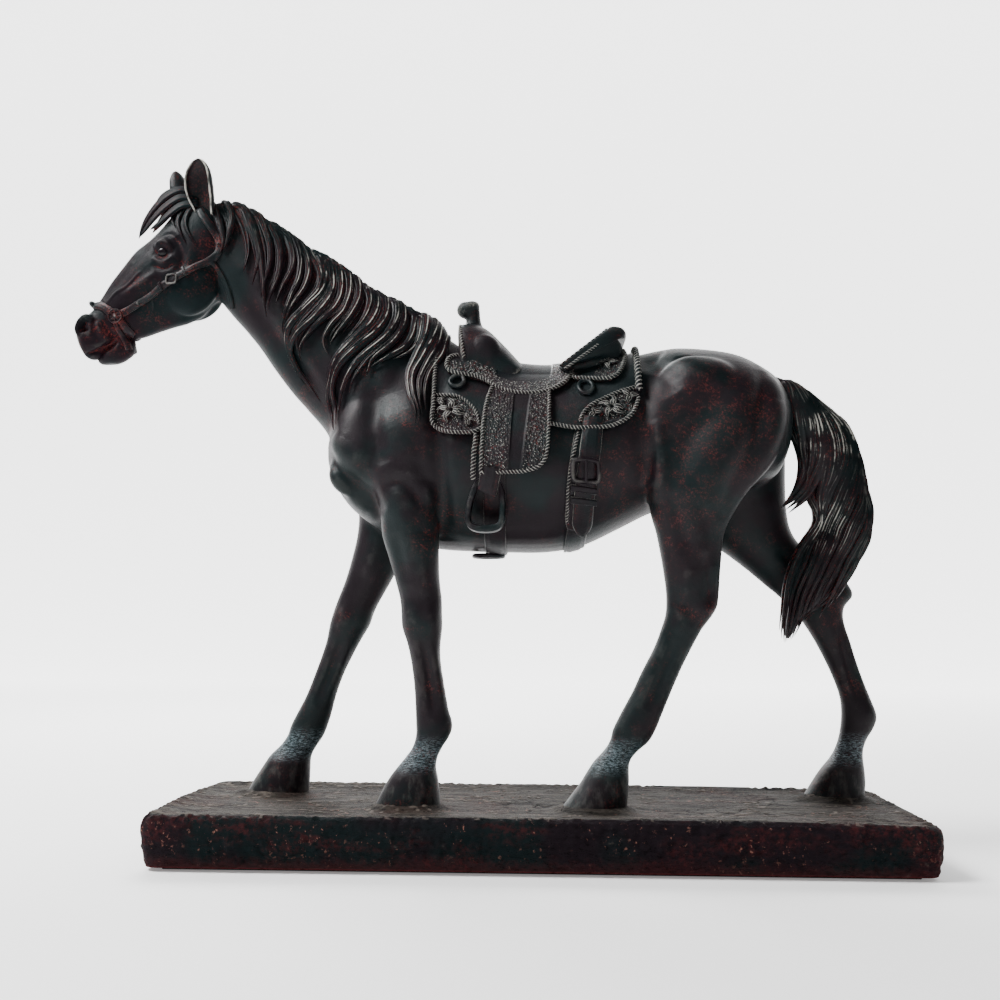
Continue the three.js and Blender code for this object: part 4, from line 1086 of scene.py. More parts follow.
def strap(line, width, lift, thick, skin, groove=0.0, sections=60, across=13, taper=0.0):
    """Flat strap on a side-view line: w and a step across, domed by thick * (1 - b**6 / 2), with stitch
    grooves near both edges."""
    path = curve(line, sections)
    along = unit(np.gradient(path, axis=0))
    b = np.linspace(-1, 1, across)[None]
    t = np.linspace(0, 1, sections)[:, None]
    half = width / 2 * (1 - taper * fade((t - 0.9) / 0.1) ** 2)
    x = path[:, :1] - along[:, 1:] * b * half
    z = path[:, 1:] + along[:, :1] * b * half
    shape = 1 - b**6 * 0.5 - groove * bell(np.abs(b) - 0.72, 0.08)
    stitches = np.where(np.abs(np.abs(b) - 0.72) < 0.12, -0.7 * (groove > 0), -0.1)
    top, under = (skin.lay(x, z, lift + up * np.ones_like(x))[0] for up in (thick * shape, 0))
    return strap_sheet(top, under, np.where(np.abs(b) > 0.9, 0.8, stitches))


def ring_fitting(centre, radius, wire, skin, lift, sections=40, around=14, square=0.0):
    """Round or squared loop of wire lying on the skin: superellipse path of exponent 1 - square."""
    a = circle(sections)
    x = centre[0] + radius[0] * squared(np.cos(a), 1 - square)
    z = centre[1] + radius[1] * squared(np.sin(a), 1 - square)
    p, n = skin.lay(x, z, lift + 0 * x)
    ahead = unit(np.roll(p, -1, axis=0) - np.roll(p, 1, axis=0))
    points = round_wire(p, n, np.cross(ahead, n), wire, around)
    proud = np.cos(circle(around)) * np.ones((sections, 1))
    faces = grid_faces(sections, around, wrap=True, loop=True)
    return facing_out((points.reshape(-1, 3), [faces], proud.ravel()))


def fitting(name, parts):
    """One mesh from several surfaces. Their values are how proud each point is and, where a leather
    is tooled or trowelled, how strongly."""
    values = np.concatenate([w if w.ndim == 2 else np.stack([w, 0 * w], 1) for _, _, w in parts])
    stored = {"proud": values[:, 0], "marked": values[:, 1]}
    return add_mesh(name, *stack([(p, f) for p, f, _ in parts]), attributes=stored)


def facing_out(part):
    """The surface with its faces turned over if its signed volume is negative."""
    p, faces, w = part
    volume = 0.0
    for f in faces:
        for k in range(1, f.shape[1] - 1):
            volume += np.einsum("ij,ij->", p[f[:, 0]], np.cross(p[f[:, k]], p[f[:, k + 1]]))
    return (p, [f[:, ::-1] for f in faces], w) if volume < 0 else part


def copy_far(part):
    return (*mirrored(*part[:2]), part[2])


def with_far(parts):
    return parts + [copy_far(q) for q in parts]


def left_and_right(name, parts):
    """The near parts as one mesh and their copies on the far side as another."""
    return fitting("left_" + name, parts), fitting("right_" + name, [copy_far(q) for q in parts])


# %% [markdown]
# The tooling has two patterns. Most borders are stippled with a small round punch, and the skirt's
# corners carry carved leaves. The stipple is a fine field of pebbles pressed into the sheet; the
# leaves are raised locks of a few millimetres, set round a centre.


# %% Skirt
def inside(outline, x, z, soft=0.8):
    """1 inside a side-view outline and 0 outside, fading over soft mm: signed distance to its edge."""
    poly = np.asarray(outline, float)
    best = np.full(x.shape, np.inf)
    odd = np.zeros(x.shape, bool)
    for (ax, az), (bx, bz) in zip(poly, np.roll(poly, -1, axis=0)):
        dx, dz = bx - ax, bz - az
        t = fade(((x - ax) * dx + (z - az) * dz) / (dx**2 + dz**2 + 1e-9))
        best = np.minimum(best, np.hypot(x - ax - t * dx, z - az - t * dz))
        crossing = (az > z) != (bz > z)
        odd ^= crossing & (x < dx * (z - az) / (dz + 1e-9) + ax)
    return fade(0.5 + np.where(odd, best, -best) / soft)


skirt_low = [
    (-47.5, 196), (-47, 190), (-45.2, 186.4), (-41, 184.3), (-36, 183.6), (-29, 183.8), (-25, 185.5),
    (-18, 187.2), (3, 187.6), (8, 187), (14, 185.8), (20, 185.6), (29.5, 186.2), (35.6, 188.4),
    (40.6, 192.4), (43, 198), (44.5, 204),
]
front_carving = [
    (-46, 202), (-46, 188), (-42, 185), (-30, 185), (-25.5, 188), (-27.5, 193), (-31, 197.4),
    (-36.5, 201),
]
rear_carving = [
    (17.5, 188), (28, 188), (36, 190.4), (41.4, 195), (43.2, 205), (37, 203), (29, 199.6), (22, 195.6),
]
SKIRT_LIFT, SKIRT_THICK = 0.3, 2.2


def skirt_relief(x, z):
    carved = np.maximum(inside(front_carving, x, z), inside(rear_carving, x, z))
    return -0.5 * carved, -0.25 * (1 - carved), carved


skirt_x = np.linspace(-47.5, 44.5, 175)
skirt_first = barrel.angle_at(skirt_x, edge_curve(skirt_low, skirt_x), SKIRT_LIFT + SKIRT_THICK)
skirt_part = leather(skirt_x, skirt_first, SKIRT_LIFT, SKIRT_THICK, skirt_relief, 200)


def rope_on_barrel(corners, lift, count=160, **kwargs):
    """Rope along side-view corners on the near side of the barrel, as a surface with proud values."""
    path = curve(corners, count)
    angle = barrel.angle_at(path[:, 0], path[:, 1], lift)
    p = barrel.place(path[:, 0], angle, lift)
    n = p - np.stack([path[:, 0], 0 * angle + MID, barrel.middle(path[:, 0])], 1)
    return rope(p, unit(n), **kwargs)


def rope_over(x, first, share, lift, **kwargs):
    """Rope round the barrel at one end of a layer, over a share of the angles from first to its opposite."""
    angle = np.linspace(first * share, -first * share, 120)
    p = barrel.place(np.full(120, float(x)), angle, lift)
    return rope(p, np.stack([0 * angle, np.sin(angle), np.cos(angle)], 1), **kwargs)


edge_lift = SKIRT_LIFT + SKIRT_THICK + 0.15
low_rope = rope_on_barrel([(-46.6, 198)] + skirt_low[1:-1] + [(43.6, 201)], edge_lift)
front_rope = rope_over(-46.8, skirt_first[1], 0.93, edge_lift)
rear_rope = rope_over(43.9, skirt_first[-2], 0.97, edge_lift + 0.8, radius=1.35, pitch=2.2)
front_line = [(-45.6, 201.8), (-37, 201.2), (-31, 197.4), (-27.3, 192.6), (-26, 187)]
rear_line = [(17.6, 188.4), (19.6, 193), (23, 196.6), (29, 200), (36, 203.2), (43, 205.4)]
arcs = [rope_on_barrel(line, edge_lift - 0.1, radius=0.7) for line in (front_line, rear_line)]


def leaves(centre, count, reach, start, lift, width):
    """Carved leaves round a centre: each is a short lock that leaves at its own angle and curls."""
    made = []
    for k in range(count):
        bend, size = (0.7, reach) if k % 2 else (-0.5, reach * 0.78)
        r = np.linspace(0.16, 1, 9) * size
        turn = start + 2 * np.pi * k / count + bend * (r / size) ** 1.5
        x, z = centre[0] + r * np.cos(turn), centre[1] + 0.85 * r * np.sin(turn)
        p, n = near_side.lay(x, z, lift + 0.7 * np.sin(np.pi * r / size))
        made.append(facing_out(lock(p, n, width, 0.9, ridges=2, sections=14, around=12, sharp=3, root=0.3)))
    return made


near_trim = [low_rope, *arcs]
for centre, count, reach, start, width in (
    ((-38.5, 193.2), 9, 6.6, 0.4, 1.35), ((-43.2, 197.6), 5, 3.2, 1.0, 0.9),
     ((-31, 188.6), 5, 3.4, 0.2, 0.9),
    ((32, 194.6), 9, 6.4, 0.2, 1.35), ((39.4, 199.6), 6, 3.8, 0.8, 1.0), ((24, 191.6), 5, 3.4, 2.2, 0.9),
):
    near_trim += leaves(centre, count, reach, start, SKIRT_LIFT + SKIRT_THICK - 0.3, width)
skirt = fitting("skirt_leather", [skirt_part, front_rope, rear_rope] + with_far(near_trim))
print("skirt quads", len(skirt.data.polygons))

# %% [markdown]
# Over the skirt lie the seat with its jockey, and behind it the rear jockey. The jockey's border is
# stippled round a smooth inset, and its edge is roped. The seat dips between fork and cantle.

# %% Seat and rear jockey
LAYER_TWO = SKIRT_LIFT + SKIRT_THICK + 0.3
JOCKEY_THICK = 2.2
jockey_low = [
    (-42, 217.5), (-41, 214.6), (-38.8, 212.8), (-34, 211.9), (-28.6, 211.1), (-23.6, 208.8),
    (-18.4, 205.2), (-13, 203.2), (-8.5, 202.4), (-2, 202.4), (4, 203.8), (9, 206.4), (12.6, 209.6),
    (14.4, 213.4), (14.8, 217.6),
]
inset = [
    (-19.4, 213), (-18, 210.6), (-13.9, 208.7), (-8, 208), (-2.3, 208.3), (3, 209.6), (5.2, 211.4),
    (6, 215), (6, 240), (-19.4, 240),
]


def jockey_relief(x, z):
    smooth = inside(inset, x, z, 0.7)
    border = bell(smooth - 0.5, 0.35)
    rough = (1 - smooth) * fade((221 - z) / 3)
    pad = 2.0 * fade((z - 213) / 5) * fade((x + 34) / 4)
    tab = 1.9 * fade((z - 221.3) / 0.6) * fade((-33.6 - x) / 0.6)
    return pad - tab - 0.35 * smooth + 0.3 * border, 0.6 * border - 0.2 * smooth, rough


jockey_x = np.linspace(-42, 14.8, 190)
jockey_first = barrel.angle_at(jockey_x, edge_curve(jockey_low, jockey_x), LAYER_TWO + JOCKEY_THICK)
jockey = leather(jockey_x, jockey_first, LAYER_TWO, JOCKEY_THICK, jockey_relief, 240)
jockey_edge = LAYER_TWO + JOCKEY_THICK - 0.1
jockey_rim = [(-33.6, 222.2), (-37.4, 222), (-40.2, 220.6), (-41.6, 217.6)] + jockey_low[1:]
jockey_rope = rope_on_barrel(jockey_rim, jockey_edge)
seat_part = fitting("seat_leather", [jockey] + with_far([jockey_rope]))

rear_low = [
    (15, 213), (15.8, 210.6), (20.6, 209.9), (26.6, 209.5), (32, 209.8), (35.6, 212.6), (38, 218),
    (39, 223.6),
]
rear_flower = [(24, 211), (33, 211), (37, 216), (38, 222), (30, 219), (25, 215)]


def rear_relief(x, z):
    carved = inside(rear_flower, x, z)
    return -0.2 * carved, -0.2 * (1 - carved), carved


rear_x = np.linspace(15, 39, 90)
rear_first = barrel.angle_at(rear_x, edge_curve(rear_low, rear_x), LAYER_TWO + 2)
rear_sheet = leather(rear_x, rear_first, LAYER_TWO, 2.0, rear_relief, 200)
rear_edge = rope_on_barrel(rear_low, LAYER_TWO + 1.9)
rear_back = rope_over(38.6, rear_first[-2], 1, LAYER_TWO + 1.9)
rear_curl = leaves((31.6, 214.6), 8, 5.0, 0.3, LAYER_TWO + 1.6, 1.2)
rear_jockey = fitting("rear_jockey_leather", [rear_sheet, rear_back] + with_far([rear_edge] + rear_curl))
print("seat quads", len(seat_part.data.polygons), "rear jockey", len(rear_jockey.data.polygons))

# %% [markdown]
# The fork is the arch that carries the horn. It swells at both sides and runs back into the seat.
# The cantle is a leaning dish with a rolled rim, hollow behind. Both are surfaces round an arch.


# %% Fork, horn and cantle
def arch(loop, sections, columns=40):
    """Loops carried along an arch: loop(v) gives the corner points at v, from -1 to 1."""
    rows = np.stack([curve(loop(v), columns, closed=True) for v in np.linspace(-1, 1, sections)])
    return facing_out((rows.reshape(-1, 3), tube_faces(sections, columns), np.full(sections * columns, -0.1)))


def fork_loop(v):
    """Cross-section of the fork at v, from -1 at the near foot over the top at 0 to 1 at the far foot.
    Its front edge leans back on the way down and its tail runs down to the seat."""
    y = MID + 17.6 * np.sin(v * 1.55)
    up = 1 - abs(v) ** 2.3
    top = 217.5 + 21.5 * up
    low = 212 + 4 * up
    front = -34.5 - 3.2 * up
    back = -17 + 5.5 * up
    rise = top - low
    return np.array([
        [front + 0.8, y, low], [front + 0.2, y, low + 0.55 * rise], [front, y, top - 1.2],
        [front + 1.6, y, top + 0.1], [front + 6, y, top + 0.3], [front + 13, y, top - 1.2 - 0.8 * up],
        [back - 5, y, low + 0.58 * rise], [back + 2, y, low + 0.24 * rise],
        [back + 5.4, y, low + 0.04 * rise], [back, y, low - 4], [front + 4, y, low - 4],
    ])


fork_shape = arch(fork_loop, 60)
swells = two_balls(-25.8, 12.6, 224, (8.4, 4.8, 8.4), -32, 30, 44)
horn_ball = ellipsoid((-34.6, MID, 246.8), (4.2, 4.4, 4.1), 0, 30, 44)
horn_cap = ellipsoid((-32.8, MID, 247.9), (4.9, 4.9, 3.0), -16, 24, 44)
horn_neck = loft([
    (-34.4, 246, -28.8, 250, 3), (-34.2, 243.4, -27.9, 246.6, 3.3), (-34.4, 241.6, -27.6, 242.8, 3.4),
    (-34.8, 239.8, -27, 240, 3.8), (-36, 237.4, -25.6, 237, 5), (-36, 235, -24, 234, 7),
])
fork_wax = fuse("fork_wax", [fork_shape[:2], *swells, horn_neck, horn_ball, horn_cap], 0.55)
relax(fork_wax, 7, lambda p: np.full(len(p), 0.5))
store(fork_wax, "proud", proudness(fork_wax, 10, 0.4))
fork_casting = section(fork_wax, "fork_casting", [((0, 0, 238.5), up)])
horn_casting = section(fork_wax, "horn_casting", [((0, 0, 238.5), down)])
bpy.data.objects.remove(fork_wax)


def cantle_rim(v):
    """Rim of the cantle at v: it stands 234.5 high in the middle, and at its ends runs down and forward."""
    a = abs(v)
    ends = fade((a - 0.42) / 0.58)
    x = 31.6 - 1.4 * a - 20.5 * ends**1.3
    z = 234.6 - 3.6 * a**1.6 - 15.4 * ends**1.15
    y = MID + np.sign(v) * 21.6 * np.sin(np.pi / 2 * min(a * 1.12, 1)) ** 0.9
    return np.array([x, y, z])


def cantle_loop(v):
    """Cross-section at v: seat face, rolled rim that hangs back, hollow back and a foot in the seat."""
    a = abs(v)
    rim = cantle_rim(v)
    spread = rim[1] - MID
    full = 1 - 0.9 * fade((a - 0.3) / 0.7) ** 1.4
    root = np.array([9 + 2.5 * a, MID + spread * 0.93, 219.4 - 4.2 * a**2])
    heel_x = 37.8 - 21.4 * fade((a - 0.5) / 0.5) ** 1.2
    heel = np.array([heel_x, MID + spread * 0.76, 222.5 - 6.5 * a**2])
    middle = 0.5 * (root + rim) + np.array([1.6, 0, -1.6]) * (1 - a)
    rolled = [(0.6, 0, 1.2), (3.6, 0, 1.5), (7, 0, 0.6), (8.4, 0, -2), (7.4, 0, -3.9), (4.4, 0, -4.2)]
    rolled.append((6.9, -0.12 * spread, -7.8))
    rolled = rim + np.array(rolled) * full
    foot = [heel + (-0.6, 0, 1), heel + (-2, 0, -3), root + (2, 0, -4)]
    return np.array([root, middle, rim + (-0.8, 0, -0.3), *rolled, *foot])


def edge_rope(spot, span, count, normal, radius, pitch=1.5):
    """Rope through spot(v) for v from -span to span."""
    path = np.stack([spot(v) for v in np.linspace(-span, span, count)])
    return rope(path, np.tile(normal, (count, 1)), radius, pitch)


cantle = fitting("cantle_casting", [arch(cantle_loop, 90, 60)])
UP_BACK = (-0.5, 0, 0.85)
rim_rope = edge_rope(lambda v: cantle_rim(v) + (-0.7, -0.5 * np.sign(v), 0.1), 1, 80, UP_BACK, 0.55, 2.4)
band_drop = lambda v: (1.6, 0.3 * np.sign(v), -3.0 * (1 - 0.5 * abs(v)))
band_rope = edge_rope(lambda v: cantle_rim(v) + band_drop(v), 1, 80, UP_BACK, 0.6)
fork_edge = edge_rope(lambda v: fork_loop(v)[2:4].mean(0) + (0.2, 0, -0.1), 0.93, 90, (-1.0, 0, 0.3), 0.75)
edging = fitting("fork_and_rim_edging", [rim_rope, band_rope, fork_edge])
print("fork points", len(fork_casting.data.vertices), "cantle", len(cantle.data.vertices))

# %% [markdown]
# Fenders hang from under the jockey with a smooth strip between two stippled ones. Stirrups hang from
# them, the front cinch runs round the girth, and the flank cinch buckles to a billet behind.


# %% Fenders, stirrups, cinches and rigging
def at_height(line, z):
    """x of a line from top to bottom at each height z: straight between its points."""
    px, pz = zip(*line)
    return np.interp(-z, -np.array(pz), px)


def hanging_sheet(left_edge, right_edge, z, lift, thick, relief, columns):
    """Sheet with rows at heights z between a left and a right edge, laid on the near side."""
    v, z = np.linspace(0, 1, columns)[None], z[:, None] + np.zeros((1, columns))
    left, right = at_height(left_edge, z), at_height(right_edge, z)
    x = left * (1 - v) + right * v
    rim = rounded(np.minimum(x - left, right - x), np.minimum(z.max() - z, z - z.min()))
    height, proud, tooled = relief(x, z)
    top, _ = near_side.lay(x, z, lift + thick + height * rim - 0.5 * (1 - rim))
    return sheet(top, near_side.lay(x, z, lift + 0 * x)[0], proud, tooled)


fender_left = [(-20.4, 203.6), (-21.9, 200.2), (-23.4, 193), (-24.2, 184), (-24.5, 171), (-24.5, 166.4)]
fender_right = [
    (4.2, 203.6), (4.6, 197), (4.4, 188), (3.9, 177), (2.6, 171.4), (0, 168.6), (-3.6, 167.2),
    (-8, 166.4),
]
strip_edges = [(-11, 203.6), (-13.2, 166)], [(-2.9, 203.6), (-7.4, 166)]


def fender_relief(x, z):
    a, b = (at_height(line, z) for line in strip_edges)
    smooth = fade((x - a) / 0.5) * fade((b - x) / 0.5)
    seam = sum(bell(x - line, 0.45) for line in (a, b))
    seam += sum(0.8 * bell(x - line, 0.35) for line in (a - 1.3, b + 1.3))
    return 0.3 * seam - 0.25 * smooth, 0.5 * seam - 0.25 * smooth, (1 - smooth) * (1 - fade(seam))


FENDER_LIFT = LAYER_TWO
fender_z = np.linspace(203.4, 166.5, 150)
fender_sheet = hanging_sheet(fender_left, fender_right, fender_z, FENDER_LIFT, 2.1, fender_relief, 120)


def rope_on_side(corners, lift, **kwargs):
    path = curve(corners, 140)
    p, n = near_side.lay(path[:, 0], path[:, 1], lift + 0 * path[:, 0])
    return rope(p, n, **kwargs)


fender_rim = [(-20.6, 203)] + fender_left[1:] + [(-23.5, 166.2), (-15, 166.4)] + fender_right[::-1]
fender_edge = rope_on_side(fender_rim, FENDER_LIFT + 2.0, radius=0.75)
back_strap = rope_on_side([(-27.2, 181.5), (-27.8, 172), (-28, 163.5)], FENDER_LIFT + 0.8, radius=1.0)
hanger_line = [(-20.2, 168.4), (-20.8, 164.4), (-21.6, 160.6), (-22.4, 158.6)]
hanger = strap(hanger_line, 8.6, FENDER_LIFT - 0.4, 3.4, near_side, groove=0.3, sections=40)
fender, far_fender = left_and_right("fender_leather", [fender_sheet, fender_edge, back_strap, hanger])

stirrup_line = [
    (-25, 162.4), (-27, 160.6), (-28.6, 156.6), (-30, 151.5), (-30.6, 146), (-29.2, 142.9),
    (-25.8, 141.6), (-20.2, 141.6), (-17, 142.9), (-15.8, 146), (-15.6, 152), (-16, 157.2),
    (-17.2, 160.6), (-19.2, 162.4),
]
stirrup_path = curve(stirrup_line, 90, closed=True)
skin_y = near_side.read(np.array([-23.0]), np.array([151.0]))[0]


def stirrup_band(y0, y1, thick=2.6, columns=28):
    """Band round the stirrup's line: a rounded bar from y0 to y1, waisted at the top."""
    ahead = unit(np.roll(stirrup_path, -1, 0) - np.roll(stirrup_path, 1, 0))
    a = circle(columns)[None]
    high = stirrup_path[:, 1:]
    wide = 0.5 * (y0 - y1) * np.interp(high, [141, 146, 163], [1, 1, 0.55])
    wall = squared(np.sin(a), 0.6) * thick / 2 * np.interp(high, [141, 144], [1.35, 1])
    x = stirrup_path[:, :1] + ahead[:, 1:] * wall
    y = 0.5 * (y0 + y1) + squared(np.cos(a), 0.4) * wide
    points = np.stack([x, y, high - ahead[:, :1] * wall], -1)
    proud = np.where(np.abs(np.cos(a)) > 0.8, 0.7, -0.4) * np.ones_like(high)
    return facing_out((points.reshape(-1, 3), [grid_faces(*x.shape, wrap=True, loop=True)], proud.ravel()))


left_stirrup, right_stirrup = left_and_right("stirrup_iron", [stirrup_band(skin_y - 1.5, skin_y - 10.5)])


def girth(x_line, width, z_top, lift, thick, sections=260, across=15):
    """Strap round the belly from the near side under to the far side, at height z_top on both."""
    first = barrel.angle_at(np.array([x_line(z_top)]), np.array([z_top]), lift)[0]
    angle = np.linspace(first, -2 * np.pi - first, sections)
    flat = barrel.place(np.zeros(sections), angle, 0)
    middle = np.array([x_line(z) for z in flat[:, 2]])
    b = np.linspace(-1, 1, across)[None]
    x = middle[:, None] + b * width / 2
    turn = angle[:, None] + 0 * x
    shape = 1 - 0.5 * b**6 - 0.3 * bell(np.abs(b) - 0.7, 0.09)
    top, under = (barrel.place(x, turn, lift + up + 0 * x) for up in (thick * shape, 0))
    edge = np.where(np.abs(b) > 0.88, 0.6, np.where(np.abs(np.abs(b) - 0.7) < 0.1, -0.6, -0.1))
    return strap_sheet(top, under, edge)


front_cinch = fitting("front_cinch_strap", [girth(lambda z: -19.4, 9.6, 172, 0.2, 1.5)])
flank_strap = girth(lambda z: np.interp(z, [132, 158], [15.8, 19.6]), 9.4, 156, 0.2, 1.4)
rear_cinch = fitting("rear_cinch_strap", [flank_strap])


def wire_loop(centre, rx, ry, wire, sections=56, around=14):
    """Level oval ring of wire, for the cinch ring under the belly."""
    a, v = (circle(n) for n in (sections, around))
    a, v = a[:, None], v[None]
    x = centre[0] + (rx + wire * np.cos(v)) * np.cos(a)
    y = centre[1] + (ry + wire * np.cos(v)) * np.sin(a)
    points = np.stack([x, y, centre[2] + wire * np.sin(v) + 0 * x], -1).reshape(-1, 3)
    return facing_out((points, [grid_faces(sections, around, wrap=True, loop=True)], np.full(x.size, 0.4)))


belly = float(barrel.place(np.array([-22.0]), np.array([np.pi]), 0.0)[0, 2])
cinch_ring = fitting("cinch_ring_oval", [wire_loop((-23, MID, belly - 1.9), 6.6, 6.0, 1.1)])
print("belly height at the cinch", belly)

BILLET_LIFT = 1.5
billet_line = [(23.6, 190), (22.8, 182), (21.6, 174), (20.2, 164), (19.2, 156), (18.6, 148), (18.4, 141.4)]
billet = strap(billet_line, 8.6, BILLET_LIFT, 1.7, near_side, groove=0.35, sections=90, taper=0.75)
backing_line = [(20.6, 188), (18.4, 176), (16.6, 164), (15.8, 152), (15.4, 143)]
backing = strap(backing_line, 8.4, 0.2, 1.5, near_side, groove=0.3, sections=80, taper=0.3)
stitched = rope_on_side([(17.2, 183), (15.4, 176), (13.6, 168), (12.4, 158), (12.2, 146)], 1.6, radius=0.7)
keepers = [
    strap([(13.4, z + 0.4), (18.6, z), (24, z - 0.4)], 2.6, BILLET_LIFT + 0.8, 1.7, near_side, sections=30)
    for z in (159.8, 155.2)
]
left_billet, right_billet = left_and_right("billet_strap", [billet, backing, stitched] + keepers)
buckle_lift = BILLET_LIFT + 2.0
frame_loop = ring_fitting((19.6, 167.2), (5.3, 4.3), 1.1, near_side, buckle_lift, 60, 12, square=0.62)
prong_line = [(19.4, 162.4), (19.6, 166), (19.8, 171.6)]
prong = strap(prong_line, 1.4, buckle_lift, 1.2, near_side, sections=20, across=9)
left_buckle, right_buckle = left_and_right("buckle_frame", [frame_loop, prong])

rings = {}
for end, centre, radius, wire in (
    ("front_ring", (-36.8, 206.8), 2.8, 1.05),
    ("rear_ring", (20.9, 203.4), 3.1, 1.1),
):
    loop = ring_fitting(centre, (radius, radius), wire, near_side, LAYER_TWO + 0.4, 48)
    rings["left_" + end], rings["right_" + end] = left_and_right(end + "_loop", [loop])
print("tack pieces", 8 + len(rings))

# %% [markdown]
# The bridle is a noseband with a rosette at each cheek, a cheekpiece that runs to the poll and a
# thin throatlatch. Straps lie on the head's side map and are copied to the far side.


# %% Bridle
cheek_line = [
    (-197.6, 243), (-193, 245), (-187, 248.4), (-181.4, 251.4), (-176, 255.2), (-170.4, 258.4),
    (-164.6, 261.8), (-159, 265.2), (-153.6, 268.4), (-149.8, 273), (-150.4, 279), (-153.4, 284),
    (-157.6, 289.6), (-160.4, 294),
]
nose_line = [(-209.4, 250.4), (-205, 247.6), (-199.4, 243.8), (-194.6, 238.8), (-190.6, 234.2)]
curb_line = [(-199, 242.4), (-196.4, 236.4), (-193.6, 231), (-192.4, 227.6)]
throat_line = [
    (-153.6, 268.6), (-150.4, 265), (-147.4, 260.6), (-145.2, 255.6), (-143.8, 250.6), (-143.6, 246.4),
]


def on_head(line):
    """The line kept a little inside the head's outline, so that a strap on it has skin below it."""
    xz = np.array(line, float)
    xz[:, 1] = np.minimum(xz[:, 1], head_side.crest(xz[:, 0]) - 0.7)
    return xz


cheek = strap(on_head(cheek_line), 3.5, -0.2, 1.3, head_side, groove=0.28, sections=130)
nose = strap(on_head(nose_line), 4.0, -0.2, 1.3, head_side, groove=0.28)
curb = strap(on_head(curb_line), 2.6, -0.2, 1.4, head_side, groove=0.2, sections=50)
throat = strap(throat_line, 2.3, -0.2, 1.2, near_side)


def bead(centre, radii, tilt, rows, cols, proud):
    points, faces = ellipsoid(centre, radii, tilt, rows, cols)
    return facing_out((points, faces, np.full(len(points), proud)))


knot = bead((-211.3, MID, 249.9), (2.2, 3.4, 1.5), 40, 20, 30, 0.4)


def rosette(centre, radius, rows=26, cols=72):
    """Round boss on the near cheek: height h(r) = bead at the rim + dome, with eight petals between."""
    r = np.linspace(0, 1, rows)[:, None]
    a = circle(cols)[None]
    petals = 0.32 * bell(r - 0.55, 0.16) * np.cos(8 * a)
    h = 0.9 * bell(r, 0.3) + 0.75 * bell(r - 0.88, 0.1) + petals + 0.5
    h = np.where(r > 0.98, 0.0, h)
    base, n = head_side.lay(*np.array(centre)[:, None], np.zeros(1))
    across = unit(np.cross([0.0, 0.0, 1.0], n[0]))
    flat = (r * np.cos(a))[..., None] * across + (r * np.sin(a))[..., None] * np.cross(n[0], across)
    flat = base[0] + radius * flat
    points = np.concatenate([flat + (h + 0.8)[..., None] * n[0], flat[-1:] - 0.6 * n[0]], 0)
    faces = [grid_faces(rows + 1, cols, wrap=True), rows * cols + np.arange(cols)[None]]
    proud = np.concatenate([np.clip((h - 0.9) * 2, -1, 1) + 0 * a, -np.ones((1, cols))], 0)
    return facing_out((points.reshape(-1, 3), faces, proud.ravel()))


cheek_buckle = ring_fitting((-170.2, 258.6), (2.5, 2.1), 0.55, head_side, 1.2, 36, 10, square=0.5)
small = [
    strap(line, 1.5, 0.9, 0.8, head_side, sections=16)
    for line in ([(-176.4, 257.4), (-174.6, 253.8)], [(-165.4, 264), (-163.6, 260.4)])
]
studs_x, studs_z = np.array([(-186.9, 248.4), (-160.6, 264.4), (-150, 276)]).T
for spot in head_side.lay(studs_x, studs_z, np.full(3, 1.2))[0]:
    small.append(bead(spot, (0.75, 0.75, 0.75), 0, 10, 14, 0.8))
crownpiece = fitting("crownpiece_strap", with_far([cheek, cheek_buckle] + small))
noseband = fitting("noseband_strap", with_far([nose, curb]) + [knot])
throatlatch = fitting("throatlatch_strap", with_far([throat]))
left_rosette, right_rosette = left_and_right("rosette_boss", [rosette((-197.8, 242.6), 3.6)])
bpy.data.objects.remove(body)
bpy.data.objects.remove(head)
print("bridle quads", len(crownpiece.data.polygons), len(noseband.data.polygons))

# %% [markdown]
# The slab was modelled by hand in clay. Its sides bulge, its edges are soft, its top rises round each
# hoof, and the surface has dents, cracks and small torn lumps. It is one grid for the top, whose
# border is shared with the rows of the sides.

# %% Base slab
HALF_X, HALF_Y, LOW_Z, HIGH_Z, CORNER = 161.0, 54.0, 1.6, 21.2, 6.0
NX, NY = 400, 136


def slab_plan(s, t, half_x, half_y, corner):
    """Square (s, t) in -1..1 to a rectangle with round corners: in a corner square of side c the point
    keeps its direction and its length becomes max(|qx|, |qy|)."""
    x, y = half_x * s, half_y * t
    qx, qy = np.abs(x) - (half_x - corner), np.abs(y) - (half_y - corner)
    both = (qx > 0) & (qy > 0)
    length = np.hypot(qx, qy) + 1e-9
    k = np.where(both, np.maximum(qx, qy) / length, 1)
    fx = np.where(both, half_x - corner + qx * k, np.abs(x))
    fy = np.where(both, half_y - corner + qy * k, np.abs(y))
    return np.sign(x) * fx, np.sign(y) * fy


def cracks(x, y, size, seed):
    """Thin valleys where two smooth noises cross their middle value: exp(-(d / w)**2)."""
    d = value_noise(x / size, y / size, seed) - 0.5
    e = value_noise(x / size * 2.1 + 9, y / size * 2.1, seed + 1) - 0.5
    return bell(d + 0.3 * e, 0.035) * scattered(x / 34, y / 20, seed + 2, 3, 1.5)


def scattered(x, y, seed, gain, less):
    """Smooth noise stretched and cut to 0..1, for marks that come in patches."""
    return fade(value_noise(x, y, seed) * gain - less)


